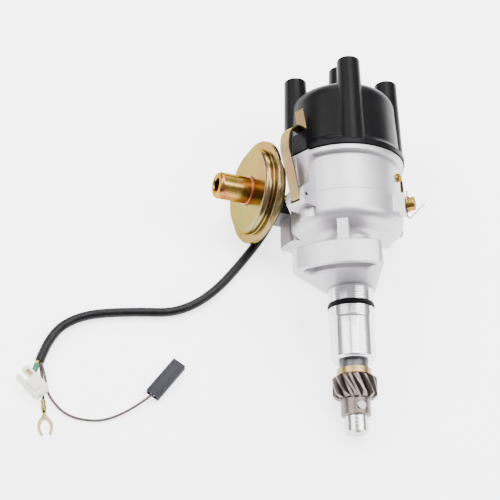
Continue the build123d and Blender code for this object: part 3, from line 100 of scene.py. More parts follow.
sweep_mesh = bpy.data.meshes.new("bench")
sweep_solid = bmesh.new()
bmesh.ops.create_grid(sweep_solid, x_segments=1, y_segments=1, size=sweep_half_width)
bmesh.ops.translate(sweep_solid, verts=sweep_solid.verts, vec=(0, 0, -sweep_gap))
sweep_solid.to_mesh(sweep_mesh)
sweep_solid.free()
sweep_mesh.materials.append(paper)
sweep = bpy.data.objects.new("bench", sweep_mesh)
bpy.context.scene.collection.objects.link(sweep)

# The light: four large soft boxes over the bench, in a pale room with dim walls.
# The walls draw the darker streaks that bright metal shows. The one that the shaft points
# at is the dimmest, so that faces turned to it stay grey.


def soft_box(name, place, target, width, height, power):
    """A rectangular soft light aimed at a point, in metres and watts."""
    data = bpy.data.lights.new(name, "AREA")
    data.shape = "RECTANGLE"
    data.size = width
    data.size_y = height
    data.energy = power
    lamp = bpy.data.objects.new(name, data)
    lamp.location = place
    lamp.rotation_mode = "QUATERNION"
    lamp.rotation_quaternion = (Vector(target) - Vector(place)).to_track_quat("-Z", "Y")
    bpy.context.scene.collection.objects.link(lamp)


soft_box("box_left", (-1.1, 0.35, 1.25), (0, 0, 0.03), 0.9, 1.1, 26.0)
soft_box("box_right", (0.95, -0.1, 1.3), (0.05, 0, 0.03), 0.5, 1.2, 22.0)
soft_box("box_back", (0.1, 1.5, 0.9), (0, 0, 0.03), 1.6, 0.5, 20.0)
soft_box("box_top", (0.1, 0.5, 1.5), (0, 0.02, 0.03), 0.9, 0.9, 30.0)

room = bpy.data.worlds.new("studio")
room.use_nodes = True
room_tree = room.node_tree
room_shader = room_tree.nodes["Background"]
room_way = add_node(room_tree, "ShaderNodeTexCoord")
room_parts = add_node(room_tree, "ShaderNodeSeparateXYZ", {"Vector": room_way.outputs["Generated"]})
# Walls up to about 7 degrees over the bench, then slowly paler up to 30 degrees
room_height = add_node(
    room_tree,
    "ShaderNodeMapRange",
    {"Value": room_parts.outputs["Z"], "From Min": 0.12, "From Max": 0.5},
)
room_front = add_node(
    room_tree,
    "ShaderNodeMapRange",
    {"Value": room_parts.outputs["Y"], "From Min": -0.75, "From Max": 0.1, "To Min": 0.3, "To Max": 1.0},
)
room_share = add_node(
    room_tree,
    "ShaderNodeMath",
    {0: room_height.outputs["Result"], 1: room_front.outputs["Result"]},
    operation="MULTIPLY",
)
room_colour = add_node(
    room_tree,
    "ShaderNodeMix",
    {0: room_share.outputs[0], 6: shade("#77777c"), 7: shade("#ffffff")},
    data_type="RGBA",
)
room_tree.links.new(room_colour.outputs[2], room_shader.inputs["Color"])
room_shader.inputs["Strength"].default_value = 1.15
bpy.context.scene.world = room

# The camera: it faces the distributor as if that stood upright, and looks up along it.
# The object is described in mm with its shaft as Z. It lies with its shaft 11.4 degrees
# off the bench and turned 6.4 degrees about it, and the datum is shifted into the frame.
shaft_rise = math.radians(11.385)
shaft_turn = math.radians(6.419)
datum_mm = Vector((21.185, -33.434, 28.135))
bench_up = Vector(
    (
        math.sin(shaft_turn) * math.cos(shaft_rise),
        -math.cos(shaft_turn) * math.cos(shaft_rise),
        math.sin(shaft_rise),
    )
)
bench_x = Vector((0, 0, 1)).cross(bench_up).normalized()
bench_y = bench_up.cross(bench_x)
lay_down = Matrix((bench_x, bench_y, bench_up))

camera_tilt = math.radians(-21.44)
camera_roll = math.radians(-0.86)
camera_distance_mm = 778.0
look_at_mm = Vector((-65.28, 0, 29.34))
focal_px = 1170
frame_px = 500
sensor_mm = 36

backwards = Vector((0, -math.cos(camera_tilt), math.sin(camera_tilt)))
level_right = Vector((1, 0, 0))
level_up = backwards.cross(level_right)
camera_right = level_right * math.cos(camera_roll) + level_up * math.sin(camera_roll)
camera_up = level_up * math.cos(camera_roll) - level_right * math.sin(camera_roll)
camera_turn = lay_down @ Matrix((camera_right, camera_up, backwards)).transposed()
camera_mm = lay_down @ (look_at_mm + backwards * camera_distance_mm) + datum_mm
camera_data = bpy.data.cameras.new("camera")
camera_data.sensor_width = sensor_mm
camera_data.lens = focal_px / frame_px * sensor_mm
camera_data.clip_start = 0.01
camera_data.clip_end = 20
camera = bpy.data.objects.new("camera", camera_data)
camera.matrix_world = Matrix.Translation(camera_mm / 1000) @ camera_turn.to_4x4()
bpy.context.scene.collection.objects.link(camera)
bpy.context.scene.camera = camera

# The cord: a soft black vinyl tube, pushed over the three leads where they leave the bowl.
# It comes out of a rubber gland in the wall, drops to the bench, and lies there in one
# loose bend. Its places are the control points of one smooth line.
sleeve_radius = 3.1
sleeve_height = 3.15
length_in_wall = 4.0
wall_place = Vector((-16.668, 82.568, 12.212))
first_bend = Vector((-40.233, 84.393, sleeve_height))
leaving = (first_bend - wall_place).normalized()


def bench_place(x, y, z):
    """A place on the bench in mm, from under the shaft's datum, given in the frame in metres."""
    return Vector((x + datum_mm.x, y + datum_mm.y, z)) / 1000


def lead_along(name, places, radius_mm, material):
    """A round lead on one NURBS spline through the run of the route."""
    curve = bpy.data.curves.new(name, "CURVE")
    curve.dimensions = "3D"
    spline = curve.splines.new("NURBS")
    spline.points.add(len(places) - 1)
    for point, place in zip(spline.points, places):
        point.co = (*place, 1)
    spline.order_u = 3
    spline.use_endpoint_u = True
    spline.resolution_u = 16
    curve.bevel_depth = radius_mm / 1000
    curve.bevel_resolution = 5
    curve.use_fill_caps = True
    curve.materials.append(material)
    piece = bpy.data.objects.new(name, curve)
    bpy.context.scene.collection.objects.link(piece)
    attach(piece, "housing_body")
    return piece


# Soft vinyl: near black, with broad soft highlights and shallow creases about 8 mm apart
sleeve_vinyl, sleeve_tree, sleeve_shader = new_material(
    "soft_vinyl_tube",
    Roughness=0.42,
    Specular_IOR_Level=0.2,
)
sleeve_place = add_node(sleeve_tree, "ShaderNodeTexCoord")
sleeve_crease = add_node(
    sleeve_tree,
    "ShaderNodeTexNoise",
    {"Vector": sleeve_place.outputs["Object"], "Scale": 130.0, "Detail": 3.0, "Roughness": 0.55},
)
sleeve_bump = add_node(
    sleeve_tree,
    "ShaderNodeBump",
    {"Strength": 0.7, "Distance": 0.0012, "Height": sleeve_crease.outputs["Fac"]},
)
sleeve_tone = add_node(
    sleeve_tree,
    "ShaderNodeMix",
    {0: sleeve_crease.outputs["Fac"], 6: shade("#050507"), 7: shade("#0c0c0f")},
    data_type="RGBA",
)
sleeve_gloss = add_node(
    sleeve_tree,
    "ShaderNodeMapRange",
    {"Value": sleeve_crease.outputs["Fac"], "To Min": 0.33, "To Max": 0.52},
)
sleeve_tree.links.new(sleeve_tone.outputs[2], sleeve_shader.inputs["Base Color"])
sleeve_tree.links.new(sleeve_bump.outputs["Normal"], sleeve_shader.inputs["Normal"])
sleeve_tree.links.new(sleeve_gloss.outputs["Result"], sleeve_shader.inputs["Roughness"])

cord_run = [bench_place(*(wall_place - leaving * length_in_wall)), bench_place(*first_bend)] + [
    bench_place(x, y, sleeve_height)
    for x, y in (
        (-54.5, 52.5),
        (-99.6, -5.4),
        (-148.0, -5.4),
        (-176.5, -9.1),
        (-194.5, -23.4),
        (-199.6, -43.0),
    )
]
cord_sleeve = lead_along("cord_sleeve_soft", cord_run, sleeve_radius, sleeve_vinyl)
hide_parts("cord_sleeve")

# The leads: three thin stranded wires with coloured vinyl insulation, out of the sleeve's end.
# The yellow one is short and goes up into the white connector, the black one runs under
# that to the fork terminal, and the brown one lies in a wide bow to the blade connector.
lead_radius = 0.85


def insulation(name, code, dark_code, roughness):
    """Extruded vinyl on a thin lead: tone drifting over about 11 mm, a soft gloss and a 1 mm grain."""
    material, tree, shader = new_material(name, Roughness=roughness, IOR=1.53)
    place = add_node(tree, "ShaderNodeTexCoord")
    drift = add_node(
        tree,
        "ShaderNodeTexNoise",
        {"Vector": place.outputs["Object"], "Scale": 90.0, "Detail": 3.0},
    )
    tone = add_node(
        tree,
        "ShaderNodeMix",
        {0: drift.outputs["Fac"], 6: shade(code), 7: shade(dark_code)},
        data_type="RGBA",
    )
    grain = add_node(tree, "ShaderNodeTexNoise", {"Vector": place.outputs["Object"], "Scale": 900.0})
    relief = add_node(
        tree,
        "ShaderNodeBump",
        {"Strength": 0.25, "Distance": 0.0001, "Height": grain.outputs["Fac"]},
    )
    tree.links.new(tone.outputs[2], shader.inputs["Base Color"])
    tree.links.new(relief.outputs["Normal"], shader.inputs["Normal"])
    return material


yellow_vinyl = insulation("yellow_vinyl", "#dfc92a", "#c9b01f", 0.4)
brown_vinyl = insulation("brown_vinyl", "#4e3a39", "#3d2a29", 0.42)
black_vinyl = insulation("black_vinyl", "#232226", "#17171a", 0.4)

yellow_run = [
    bench_place(*place)
    for place in (
        (-200.9, -42.8, 3.6),
        (-201.6, -50.4, 5.0),
        (-203.4, -52.1, 5.0),
    )
]
yellow_lead = lead_along("yellow_lead", yellow_run, lead_radius, yellow_vinyl)
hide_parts("yellow_wire")

black_run = [
    bench_place(*place)
    for place in (
        (-199.6, -43.3, 1.7),
        (-197.9, -50.9, 0.9),
        (-196.7, -59.9, 0.9),
        (-195.9, -67.9, 1.05),
        (-195.65, -72.1, 1.75),
    )
]
black_lead = lead_along("black_lead", black_run, lead_radius, black_vinyl)
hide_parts("black_wire")

brown_run = [
    bench_place(*place)
    for place in (
        (-198.45, -43.95, 3.6),
        (-195.3, -53.4, 0.9),
        (-193.2, -66.4, 0.9),
        (-178.5, -82.2, 0.9),
        (-149.3, -82.9, 0.9),
        (-127.4, -64.75, 3.1),
    )
]
brown_lead = lead_along("brown_lead", brown_run, lead_radius, brown_vinyl)
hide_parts("brown_wire")

# The housing: one aluminium die casting, bead blasted, with a turned pilot tube.
# The blasting leaves an even, fine, matt grain. The tube under the ear is turned on a lathe,
# so that it is bright and draws long streaks along the shaft.
shaft_frame = Matrix.Translation(datum_mm / 1000) @ lay_down.to_4x4()


def dress(material, *names):
    """Gives CAD nodes their finish."""
    for name in names:
        nodes[name].data.materials.clear()
        nodes[name].data.materials.append(material)


def shaft_place(tree):
    """Coordinates in metres with Z along the shaft, for patterns turned or cast round it."""
    where = add_node(tree, "ShaderNodeTexCoord")
    turned = add_node(
        tree,
        "ShaderNodeMapping",
        {"Vector": where.outputs["Object"]},
        vector_type="TEXTURE",
    )
    turned.inputs["Location"].default_value = shaft_frame.translation
    turned.inputs["Rotation"].default_value = shaft_frame.to_euler()
    return turned.outputs["Vector"]


cast, cast_tree, cast_shader = new_material("bead_blasted_aluminium", Metallic=0.9)
cast_place = shaft_place(cast_tree)
cast_parts = add_node(cast_tree, "ShaderNodeSeparateXYZ", {"Vector": cast_place})
# The dents of the beads, drawn 0.9 mm across, a few times coarser than real ones, to show
cast_grain = add_node(
    cast_tree,
    "ShaderNodeTexNoise",
    {"Vector": cast_place, "Scale": 1100.0, "Detail": 3.0},
)
# A tone that drifts over about 18 mm, as handling leaves it
cast_cloud = add_node(
    cast_tree,
    "ShaderNodeTexNoise",
    {"Vector": cast_place, "Scale": 55.0, "Detail": 4.0},
)
# Turned where Z is below the ear's underside, with a border 0.6 mm wide
cast_turned = add_node(
    cast_tree,
    "ShaderNodeMapRange",
    {"Value": cast_parts.outputs["Z"], "From Min": -0.0008, "From Max": -0.0014},
)
# Tool lines 1.2 mm apart, several times coarser than a real feed, to show
cast_lines = add_node(
    cast_tree,
    "ShaderNodeTexWave",
    {"Vector": cast_place, "Scale": 260.0, "Distortion": 1.2, "Detail": 2.0},
    bands_direction="Z",
)
cast_tone = add_node(
    cast_tree,
    "ShaderNodeMix",
    {0: cast_cloud.outputs["Fac"], 6: shade("#c4c1c4"), 7: shade("#aeabaf")},
    data_type="RGBA",
)
cast_colour = add_node(
    cast_tree,
    "ShaderNodeMix",
    {0: cast_turned.outputs["Result"], 6: cast_tone.outputs[2], 7: shade("#d9d9dc")},
    data_type="RGBA",
)
cast_height = add_node(
    cast_tree,
    "ShaderNodeMix",
    {0: cast_turned.outputs["Result"], 2: cast_grain.outputs["Fac"], 3: cast_lines.outputs["Fac"]},
)
cast_relief = add_node(
    cast_tree,
    "ShaderNodeBump",
    {"Strength": 0.35, "Distance": 0.0002, "Height": cast_height.outputs[0]},
)
# Roughness 0.44 where it is blasted, 0.16 where it is turned
cast_rough = add_node(
    cast_tree,
    "ShaderNodeMix",
    {0: cast_turned.outputs["Result"], 2: 0.44, 3: 0.16},
)
cast_tree.links.new(cast_colour.outputs[2], cast_shader.inputs["Base Color"])
cast_tree.links.new(cast_rough.outputs[0], cast_shader.inputs["Roughness"])
cast_tree.links.new(cast_relief.outputs["Normal"], cast_shader.inputs["Normal"])
dress(cast, "housing")

# The cap: moulded in one piece from black glass-filled polyester, with five towers.
# It has a satin face from the mould and small rubbed marks from handling. The rotor arm
# and the igniter module's case are of the same material.


def black_moulding(name, code, pale_code, roughness, grain_mm):
    """A dark moulded part: the mould's grain, and rubbed marks about 22 mm across that scatter more light."""
    # Its reflection is held low, because the pale room would turn the black into grey
    material, tree, shader = new_material(name, Specular_IOR_Level=0.08)
    place = shaft_place(tree)
    rubbed = add_node(
        tree,
        "ShaderNodeTexNoise",
        {"Vector": place, "Scale": 45.0, "Detail": 6.0, "Roughness": 0.7},
    )
    grain = add_node(tree, "ShaderNodeTexNoise", {"Vector": place, "Scale": 1000 / grain_mm, "Detail": 2.0})
    tone = add_node(
        tree,
        "ShaderNodeMix",
        {0: rubbed.outputs["Fac"], 6: shade(code), 7: shade(pale_code)},
        data_type="RGBA",
    )
    gloss = add_node(
        tree,
        "ShaderNodeMapRange",
        {
            "Value": rubbed.outputs["Fac"],
            "From Min": 0.3,
            "From Max": 0.7,
            "To Min": roughness - 0.08,
            "To Max": roughness + 0.1,
        },
    )
    relief = add_node(
        tree,
        "ShaderNodeBump",
        {"Strength": 0.3, "Distance": 0.00015, "Height": grain.outputs["Fac"]},
    )
    tree.links.new(tone.outputs[2], shader.inputs["Base Color"])
    tree.links.new(gloss.outputs["Result"], shader.inputs["Roughness"])
    tree.links.new(relief.outputs["Normal"], shader.inputs["Normal"])
    return material


cap_polyester = black_moulding("glass_filled_polyester", "#060607", "#0c0c0e", 0.34, 1.1)
dress(cap_polyester, "cap", "rotor_arm", "igniter_module")

# The gold parts: steel pressings and turned parts, zinc plated and passivated yellow.
# The chromate film is thin and uneven, so gold runs into pale green and rose over a few cm
# on the pressings, and within a cm on the turned parts.


def yellow_zinc(name, gold, green, rose, roughness, patch_mm):
    """Yellow passivated zinc, with its colour drifting over patches of that size and a haze of 4 mm."""
    material, tree, shader = new_material(name, Metallic=1.0, Specular_Tint=shade("#c2b694"))
    place = shaft_place(tree)
    first = add_node(tree, "ShaderNodeTexNoise", {"Vector": place, "Scale": 1000 / patch_mm, "Detail": 2.0})
    second = add_node(
        tree,
        "ShaderNodeTexNoise",
        {"Vector": place, "Scale": 700 / patch_mm, "Detail": 3.0, "Distortion": 1.5},
    )
    to_green = add_node(
        tree,
        "ShaderNodeMapRange",
        {"Value": first.outputs["Fac"], "From Min": 0.42, "From Max": 0.62},
    )
    to_rose = add_node(
        tree,
        "ShaderNodeMapRange",
        {"Value": second.outputs["Fac"], "From Min": 0.52, "From Max": 0.68},
    )
    lower = add_node(
        tree,
        "ShaderNodeMix",
        {0: to_green.outputs["Result"], 6: shade(gold), 7: shade(green)},
        data_type="RGBA",
    )
    film = add_node(
        tree,
        "ShaderNodeMix",
        {0: to_rose.outputs["Result"], 6: lower.outputs[2], 7: shade(rose)},
        data_type="RGBA",
    )
    haze = add_node(tree, "ShaderNodeTexNoise", {"Vector": place, "Scale": 260.0, "Detail": 4.0})
    gloss = add_node(
        tree,
        "ShaderNodeMapRange",
        {"Value": haze.outputs["Fac"], "To Min": roughness - 0.07, "To Max": roughness + 0.09},
    )
    relief = add_node(
        tree,
        "ShaderNodeBump",
        {"Strength": 0.12, "Distance": 0.0001, "Height": haze.outputs["Fac"]},
    )
    tree.links.new(film.outputs[2], shader.inputs["Base Color"])
    tree.links.new(gloss.outputs["Result"], shader.inputs["Roughness"])
    tree.links.new(relief.outputs["Normal"], shader.inputs["Normal"])
    return material


zinc_pressing = yellow_zinc("yellow_zinc_pressing", "#857250", "#7d7850", "#86684c", 0.22, 20.0)
zinc_turned = yellow_zinc("yellow_zinc_turned", "#a0763c", "#857339", "#8f5638", 0.24, 9.0)
dress(zinc_pressing, "vacuum_front_shell", "vacuum_back_shell", "clip_front", "clip_rear")
dress(zinc_turned, "vacuum_port", "earth_washer", "earth_screw", "bracket_screws", "base_plate_screws")
dress(zinc_turned, "module_screws", "pull_rod")

# The drive end: a ground steel shaft, a phosphated helical gear with its pin, and washers.
# Phosphating leaves the gear a dull brown grey with a fine crystal grain. The washer over
# the gear is brass, and the bushes that carry the shaft are sintered bronze.


def metal(name, bright, dull, roughness, cloud_mm, line_mm=0.0):
    """Bare or plated metal: tone drifting over cloud_mm, and a 1.1 mm grain or lines round the shaft."""
    material, tree, shader = new_material(name, Metallic=1.0)
    place = shaft_place(tree)
    cloud = add_node(tree, "ShaderNodeTexNoise", {"Vector": place, "Scale": 1000 / cloud_mm, "Detail": 5.0})
    tone = add_node(
        tree,
        "ShaderNodeMix",
        {0: cloud.outputs["Fac"], 6: shade(bright), 7: shade(dull)},
        data_type="RGBA",
    )
    gloss = add_node(
        tree,
        "ShaderNodeMapRange",
        {"Value": cloud.outputs["Fac"], "To Min": roughness - 0.06, "To Max": roughness + 0.08},
    )
    if line_mm:
        # A wave of scale 1 repeats every 314.16 mm
        height = add_node(
            tree,
            "ShaderNodeTexWave",
            {"Vector": place, "Scale": 314.16 / line_mm, "Distortion": 1.0, "Detail": 2.0},
            bands_direction="Z",
        )
    else:
        height = add_node(tree, "ShaderNodeTexNoise", {"Vector": place, "Scale": 900.0, "Detail": 3.0})
    relief = add_node(
        tree,
        "ShaderNodeBump",
        {"Strength": 0.2, "Distance": 0.0001, "Height": height.outputs["Fac"]},
    )
    tree.links.new(tone.outputs[2], shader.inputs["Base Color"])
    tree.links.new(gloss.outputs["Result"], shader.inputs["Roughness"])
    tree.links.new(relief.outputs["Normal"], shader.inputs["Normal"])
    return material


# Grinding lines are drawn much coarser than a wheel leaves them, to show
ground_steel = metal("ground_steel", "#c9c8c6", "#aeaca9", 0.2, 20.0, line_mm=2.3675)
plain_steel = metal("plain_steel", "#9b9a98", "#7d7b78", 0.34, 9.0)
phosphated = metal("phosphated_steel", "#857b76", "#4a413c", 0.36, 4.0)
# Dark steel: real dark metal on the collar and the magnet, and painted shade on the vacuum unit's bracket
dark_steel = metal("dark_steel", "#5d5d5f", "#434345", 0.4, 8.0)
brass = metal("bright_brass", "#a88f62", "#7d6440", 0.3, 7.0)
sintered_bronze = metal("sintered_bronze", "#a9824f", "#8a6538", 0.5, 3.0)
dress(ground_steel, "shaft")
dress(phosphated, "drive_gear")
dress(dark_steel, "shaft_collar")
dress(brass, "thrust_washer")
dress(sintered_bronze, "lower_bush", "upper_bush")
dress(plain_steel, "gear_pin", "upper_washer")

# The works in the bowl: governor, reluctor, pickup and plates, pressed or turned from steel.
# The coil is wound from enamelled copper wire, the magnet is dark, and what carries the spark is brass.
# The vacuum unit's bracket is darkened too: that is painted shade, for the shade it lies in under the bowl.
copper = metal("enamelled_copper", "#b8693f", "#93492a", 0.35, 1.0)
dress(plain_steel, "weight_carrier", "flyweight_a", "flyweight_b", "governor_springs")
dress(plain_steel, "reluctor_sleeve", "reluctor", "pickup_core")
dress(plain_steel, "base_plate", "pickup_plate", "plate_ring")
dress(plain_steel, "diaphragm_plate", "diaphragm_spring", "brush_spring")
# Painted shade: the vacuum unit's bracket gets the dark steel, to stand for the shade it lies in under the
# bowl
dress(dark_steel, "pickup_magnet", "vacuum_bracket")
dress(copper, "pickup_coil")
dress(brass, "rotor_contact", "plug_electrodes", "centre_electrode")

# The small things: the clips' pins, the bent wire hook, and the washer under the port.
# The hook and the pins are plain steel wire, and the washer is a dull red.
reddish_washer = metal("reddish_washer", "#b9705a", "#97543f", 0.42, 5.0)
dress(plain_steel, "clip_pins", "wire_hook")
dress(reddish_washer, "port_washer")

# Rubber and carbon: the O-ring and the diaphragm are moulded nitrile rubber, matt and black.
# The brush is a rod of pressed carbon, which is dark grey and shines a little.
rubber = black_moulding("nitrile_rubber", "#060607", "#0c0c0d", 0.5, 1.3)
carbon = black_moulding("pressed_carbon", "#26262a", "#38383c", 0.45, 0.9)
dress(rubber, "o_ring", "vacuum_diaphragm")
dress(carbon, "brush")

# The two-way connector: a white nylon moulding with two noses and a gap between them.
# The upper nose has a window over its rolled brass tab, and a low step on the upper face
# is the latch that the other half snaps over. It rests on the leads that run under it.
connector_middle = (-203.5, -58.9)
connector_heading = (0.695, -0.719)
connector_low = 2.0
connector_high = 7.6
connector_outline = (
    (-2.2, 0.0), (-2.2, -1.3), (-3.4, -2.0), (-9.0, -2.3), (-9.9, -3.0), (-9.8, -4.4), (-8.6, -5.2),
    (-3.0, -5.2), (-1.6, -5.9), (8.4, -5.9), (9.6, -4.8), (10.9, -4.3), (10.9, 4.6), (9.6, 5.0),
    (8.6, 5.9), (-9.9, 5.9), (-10.9, 4.9), (-10.9, 1.9), (-10.2, 1.0), (-3.4, 0.7),
)
window_middle = (-5.4, 2.9)
window_depth = 2.6


def rounded(half_x, half_y, corner, middle=(0.0, 0.0)):
    """A rectangle with rounded corners, in mm."""
    outline = []
    for turn, (side_x, side_y) in enumerate(((1, 1), (-1, 1), (-1, -1), (1, -1))):
        for step in range(5):
            angle = math.radians(90 * turn + 22.5 * step)
            x = side_x * (half_x - corner) + corner * math.cos(angle)
            y = side_y * (half_y - corner) + corner * math.sin(angle)
            outline.append((x + middle[0], y + middle[1]))
    return outline


def drawn_face(solid, outline, height, lift):
    """Draws a face on an outline in mm up or down by lift: gives the face and the one drawn from it."""
    face = solid.faces.new([solid.verts.new((x, y, height)) for x, y in outline])
    drawn = bmesh.ops.extrude_face_region(solid, geom=[face, *face.edges])["geom"]
    corners = [part for part in drawn if isinstance(part, bmesh.types.BMVert)]
    bmesh.ops.translate(solid, verts=corners, vec=(0, 0, lift))
    far_face = [part for part in drawn if isinstance(part, bmesh.types.BMFace)][0]
    return face, far_face


def block(solid, outline, low, high, pocket=None, depth=0.0):
    """A solid between two heights, in mm, with an outline and, if asked, a pocket in its upper face."""
    top = drawn_face(solid, outline, low, high - low)[1]
    if pocket:
        mouth = drawn_face(solid, pocket, high, -depth)[0]
        bmesh.ops.delete(solid, geom=[top, mouth], context="FACES_ONLY")
        border = [edge for edge in solid.edges if len(edge.link_faces) == 1]
        bmesh.ops.triangle_fill(solid, use_beauty=True, edges=border)


def soften(solid, width, steps=3):
    """Rounds the edges that turn by more than 30 degrees, by a small width in mm."""
    bmesh.ops.recalc_face_normals(solid, faces=solid.faces)
    sharp = [
        edge
        for edge in solid.edges
        if len(edge.link_faces) == 2 and edge.calc_face_angle(0) > math.radians(30)
    ]
    bmesh.ops.bevel(
        solid,
        geom=sharp,
        offset=width,
        offset_type="OFFSET",
        segments=steps,
        profile=0.5,
        affect="EDGES",
        clamp_overlap=True,
        material=-1,
    )


def bench_frame(middle, heading, height=0.0):
    """A frame on the bench, in metres, with its X along a heading."""
    turn = math.atan2(heading[1], heading[0])
    return Matrix.Translation(bench_place(*middle, height)) @ Matrix.Rotation(turn, 4, "Z")


def finish_piece(solid, name, place, material):
    """Moves a solid from mm in its own frame to its place and makes it a piece, smooth up to 40 degrees."""
    bmesh.ops.transform(solid, matrix=place @ Matrix.Scale(0.001, 4), verts=solid.verts)
    bmesh.ops.remove_doubles(solid, verts=solid.verts, dist=1e-7)
    bmesh.ops.recalc_face_normals(solid, faces=solid.faces)
    for face in solid.faces:
        face.smooth = True
    for edge in solid.edges:
        edge.smooth = len(edge.link_faces) == 2 and edge.calc_face_angle(0) < math.radians(40)
    mesh = bpy.data.meshes.new(name)
    solid.to_mesh(mesh)
    solid.free()
    mesh.materials.append(material)
    piece = bpy.data.objects.new(name, mesh)
    bpy.context.scene.collection.objects.link(piece)
    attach(piece, "housing_body")
    return piece


# Nylon: milky white with a satin face, a little uneven over about 6 mm
white_nylon, nylon_tree, nylon_shader = new_material("white_nylon", Roughness=0.38, IOR=1.53)
nylon_place = add_node(nylon_tree, "ShaderNodeTexCoord")
nylon_cloud = add_node(
    nylon_tree,
    "ShaderNodeTexNoise",
    {"Vector": nylon_place.outputs["Object"], "Scale": 160.0, "Detail": 3.0},
)
nylon_tone = add_node(
    nylon_tree,
    "ShaderNodeMix",
    {0: nylon_cloud.outputs["Fac"], 6: shade("#efede8"), 7: shade("#e0ddd6")},
    data_type="RGBA",
)
nylon_tree.links.new(nylon_tone.outputs[2], nylon_shader.inputs["Base Color"])

connector_place = bench_frame(connector_middle, connector_heading)
shell_solid = bmesh.new()
shell_window = rounded(2.5, 1.3, 0.5, window_middle)
block(shell_solid, connector_outline, connector_low, connector_high, shell_window, window_depth)
soften(shell_solid, 0.45)
connector_shell = finish_piece(
    shell_solid, "connector_shell", connector_place, white_nylon
)
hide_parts("two_way_connector")

latch_solid = bmesh.new()
block(latch_solid, rounded(3.6, 2.6, 0.8, (3.4, -0.4)), connector_high - 0.2, connector_high + 0.9)
soften(latch_solid, 0.35)
connector_latch = finish_piece(
    latch_solid, "connector_latch", connector_place, white_nylon
)

tab_solid = bmesh.new()
tab_groove = rounded(1.6, 0.4, 0.2, (-5.5, 2.7))
block(tab_solid, rounded(2.1, 1.05, 0.4, window_middle), 5.05, 6.6, tab_groove, 0.9)
soften(tab_solid, 0.15, 2)
connector_tab = finish_piece(tab_solid, "connector_tab", connector_place, brass)
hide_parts("connector_terminals")

# The green sleeve: a short vinyl tube, pushed over the yellow lead where it enters the connector.
# It follows the lead's own line, which is read from a copy of it with no thickness, from
# a little way along it to its end.
green_start = 2.4
green_radius = 1.9
green_sides = 24

yellow_line = yellow_lead.data.copy()
yellow_line.bevel_depth = 0
line_object = bpy.data.objects.new("yellow_line", yellow_line)
line_mesh = bpy.data.meshes.new_from_object(line_object)
line_places = [vertex.co * 1000 for vertex in line_mesh.vertices]
bpy.data.objects.remove(line_object)
bpy.data.curves.remove(yellow_line)
bpy.data.meshes.remove(line_mesh)

green_places = []
travelled = 0.0
for before, here in zip(line_places, line_places[1:]):
    travelled += (here - before).length
    if travelled > green_start:
        green_places.append(here)

green_solid = bmesh.new()
bmesh.ops.create_circle(green_solid, cap_ends=True, radius=green_radius, segments=green_sides)
end_face = green_solid.faces[:][0]
ring_corners = green_solid.verts[:]
ring_frame = Matrix.Identity(4)
for index, middle in enumerate(green_places):
    behind = green_places[max(index - 1, 0)]
    ahead = green_places[min(index + 1, len(green_places) - 1)]
    forward = (ahead - behind).normalized()
    sideways = Vector((0, 0, 1)).cross(forward).normalized()
    next_frame = Matrix((sideways, forward.cross(sideways), forward)).transposed().to_4x4()
    next_frame.translation = middle
    if index:
        drawn = bmesh.ops.extrude_face_region(green_solid, geom=[end_face, *end_face.edges])["geom"]
        ring_corners = [part for part in drawn if isinstance(part, bmesh.types.BMVert)]
        end_face = [part for part in drawn if isinstance(part, bmesh.types.BMFace)][0]
    bmesh.ops.transform(green_solid, matrix=next_frame @ ring_frame.inverted(), verts=ring_corners)
    ring_frame = next_frame

green_vinyl = insulation("green_vinyl", "#05704a", "#035238", 0.38)
green_tube = finish_piece(
    green_solid, "green_tube", Matrix.Identity(4), green_vinyl
)
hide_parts("green_sleeve")

# The fork terminal: stamped from tinned bronze sheet, with its barrel crimped on the black lead.
# The fork is drawn on one side of its middle line and mirrored. The barrel is rolled round
# the lead and pressed in near its middle.
fork_middle = (-195.7, -70.8)
fork_heading = (0.132, -0.991)
fork_low = 0.3
fork_high = 1.15
barrel_height = 1.75
fork_half = (
    (4.0, 1.5), (8.0, 1.25), (9.2, 1.7), (10.6, 2.8), (12.4, 4.0), (14.6, 4.7), (17.0, 4.75),
    (19.4, 4.2), (21.9, 3.1), (22.0, 1.9), (21.2, 1.75), (19.0, 2.6), (17.0, 2.95), (15.0, 2.85),
    (13.4, 2.2), (12.2, 1.3), (11.4, 0.5),
)
barrel_profile = (
    (-1.0, 1.0), (-1.0, 1.6), (0.4, 1.65), (0.9, 1.4), (2.4, 1.4), (2.9, 1.65), (4.6, 1.6),
    (6.2, 0.9), (6.2, 0.3), (4.4, 0.9),
)
tinned_bronze = metal("terminal_bronze", "#958a5c", "#6b6038", 0.34, 4.0)


def ring_solid(profile, steps=32):
    """A closed ring turned about X from places along X and radii, in mm."""
    solid = bmesh.new()
    loop = [solid.verts.new((along, radius, 0)) for along, radius in profile]
    edges = [solid.edges.new((loop[i], loop[(i + 1) % len(loop)])) for i in range(len(loop))]
    bmesh.ops.spin(
        solid,
        geom=loop + edges,
        cent=(0, 0, 0),
        axis=(1, 0, 0),
        angle=2 * math.pi,
        steps=steps,
        use_merge=True,
    )
    bmesh.ops.remove_doubles(solid, verts=solid.verts, dist=1e-5)
    return solid


fork_solid = bmesh.new()
fork_outline = list(fork_half) + [(x, -y) for x, y in reversed(fork_half)]
block(fork_solid, fork_outline, fork_low, fork_high)
soften(fork_solid, 0.2, 2)
fork_place = bench_frame(fork_middle, fork_heading)
fork_piece = finish_piece(fork_solid, "fork_plate", fork_place, tinned_bronze)
barrel_place = bench_frame(fork_middle, fork_heading, barrel_height)
barrel_solid = ring_solid(barrel_profile)
barrel_piece = finish_piece(barrel_solid, "fork_barrel", barrel_place, tinned_bronze)
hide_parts("fork_terminal")

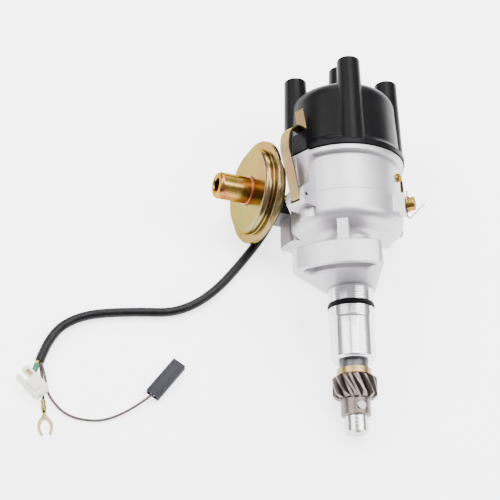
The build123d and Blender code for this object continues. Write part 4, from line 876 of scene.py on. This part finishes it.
# The blade connector: a dark grey nylon cover, ribbed along its sides, with a mouth for a blade.
# A steel crimp grips the brown lead behind it. Its cross-section is drawn on one side and
# mirrored, and its length lies along the heading.
blade_middle = (-119.4, -54.4)
blade_heading = (0.606, 0.795)
blade_height = 3.1
blade_half_length = 14.2
mouth_depth = 5.0
blade_side = (
    (0.9, -2.95), (4.2, -2.95), (4.9, -2.2), (4.9, 0.2), (4.3, 0.6), (4.3, 1.2), (4.9, 1.6),
    (4.6, 2.4), (3.9, 3.0), (3.1, 3.0), (2.8, 2.75), (2.4, 2.75), (2.1, 3.0), (0.9, 3.0),
)
crimp_profile = (
    (-13.8, 1.0), (-13.8, 1.55), (-12.4, 1.6), (-11.9, 1.3), (-10.4, 1.3), (-9.9, 1.6),
    (-9.4, 1.6), (-9.4, 1.0),
)
grey_nylon = black_moulding("grey_nylon", "#2b2b2f", "#38383c", 0.42, 0.9)

blade_place = bench_frame(blade_middle, blade_heading, blade_height)
# The block is drawn upwards, and this turns its height along the heading
length_from_height = Matrix(((0, 0, -1, 0), (-1, 0, 0, 0), (0, 1, 0, 0), (0, 0, 0, 1)))
blade_solid = bmesh.new()
blade_outline = list(blade_side) + [(-y, z) for y, z in reversed(blade_side)]
blade_mouth = rounded(3.6, 1.7, 0.5)
block(blade_solid, blade_outline, -blade_half_length, blade_half_length, blade_mouth, mouth_depth)
soften(blade_solid, 0.3, 2)
blade_cover = finish_piece(
    blade_solid, "blade_cover", blade_place @ length_from_height, grey_nylon
)
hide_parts("blade_connector")
crimp_solid = ring_solid(crimp_profile)
blade_crimp = finish_piece(crimp_solid, "blade_crimp", blade_place, plain_steel)
dress(brass, "blade_terminal")

# The gland: black nitrile rubber, with a collar in the wall and five ribs outside it.
# The ribs get smaller away from the wall, so that the gland bends with the cord.
rib_count = 5
rib_pitch = 1.45
gland_profile = [(-5.0, 3.15), (-5.0, 4.1), (0.0, 4.15), (1.0, 4.15), (1.3, 3.75)]
for rib in range(rib_count):
    along = 1.6 + rib_pitch * rib
    rib_r = 4.1 - 0.12 * rib
    gland_profile += [(along, rib_r - 0.35), (along + 0.25, rib_r)]
    gland_profile += [(along + 0.75, rib_r), (along + 1.0, rib_r - 0.4)]
gland_profile += [(9.0, 3.45), (9.0, 3.15)]
gland_solid = ring_solid(gland_profile, 40)
gland_side = Vector((0, 0, 1)).cross(leaving).normalized()
gland_place = Matrix((leaving, gland_side, leaving.cross(gland_side))).transposed().to_4x4()
gland_place.translation = bench_place(*wall_place)
gland_piece = finish_piece(gland_solid, "ribbed_gland", gland_place, rubber)
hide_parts("cord_gland")


def press_spring(name):
    """Gives a spring a mesh of its own."""
    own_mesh(nodes[name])


press_spring("diaphragm_spring")
press_spring("brush_spring")
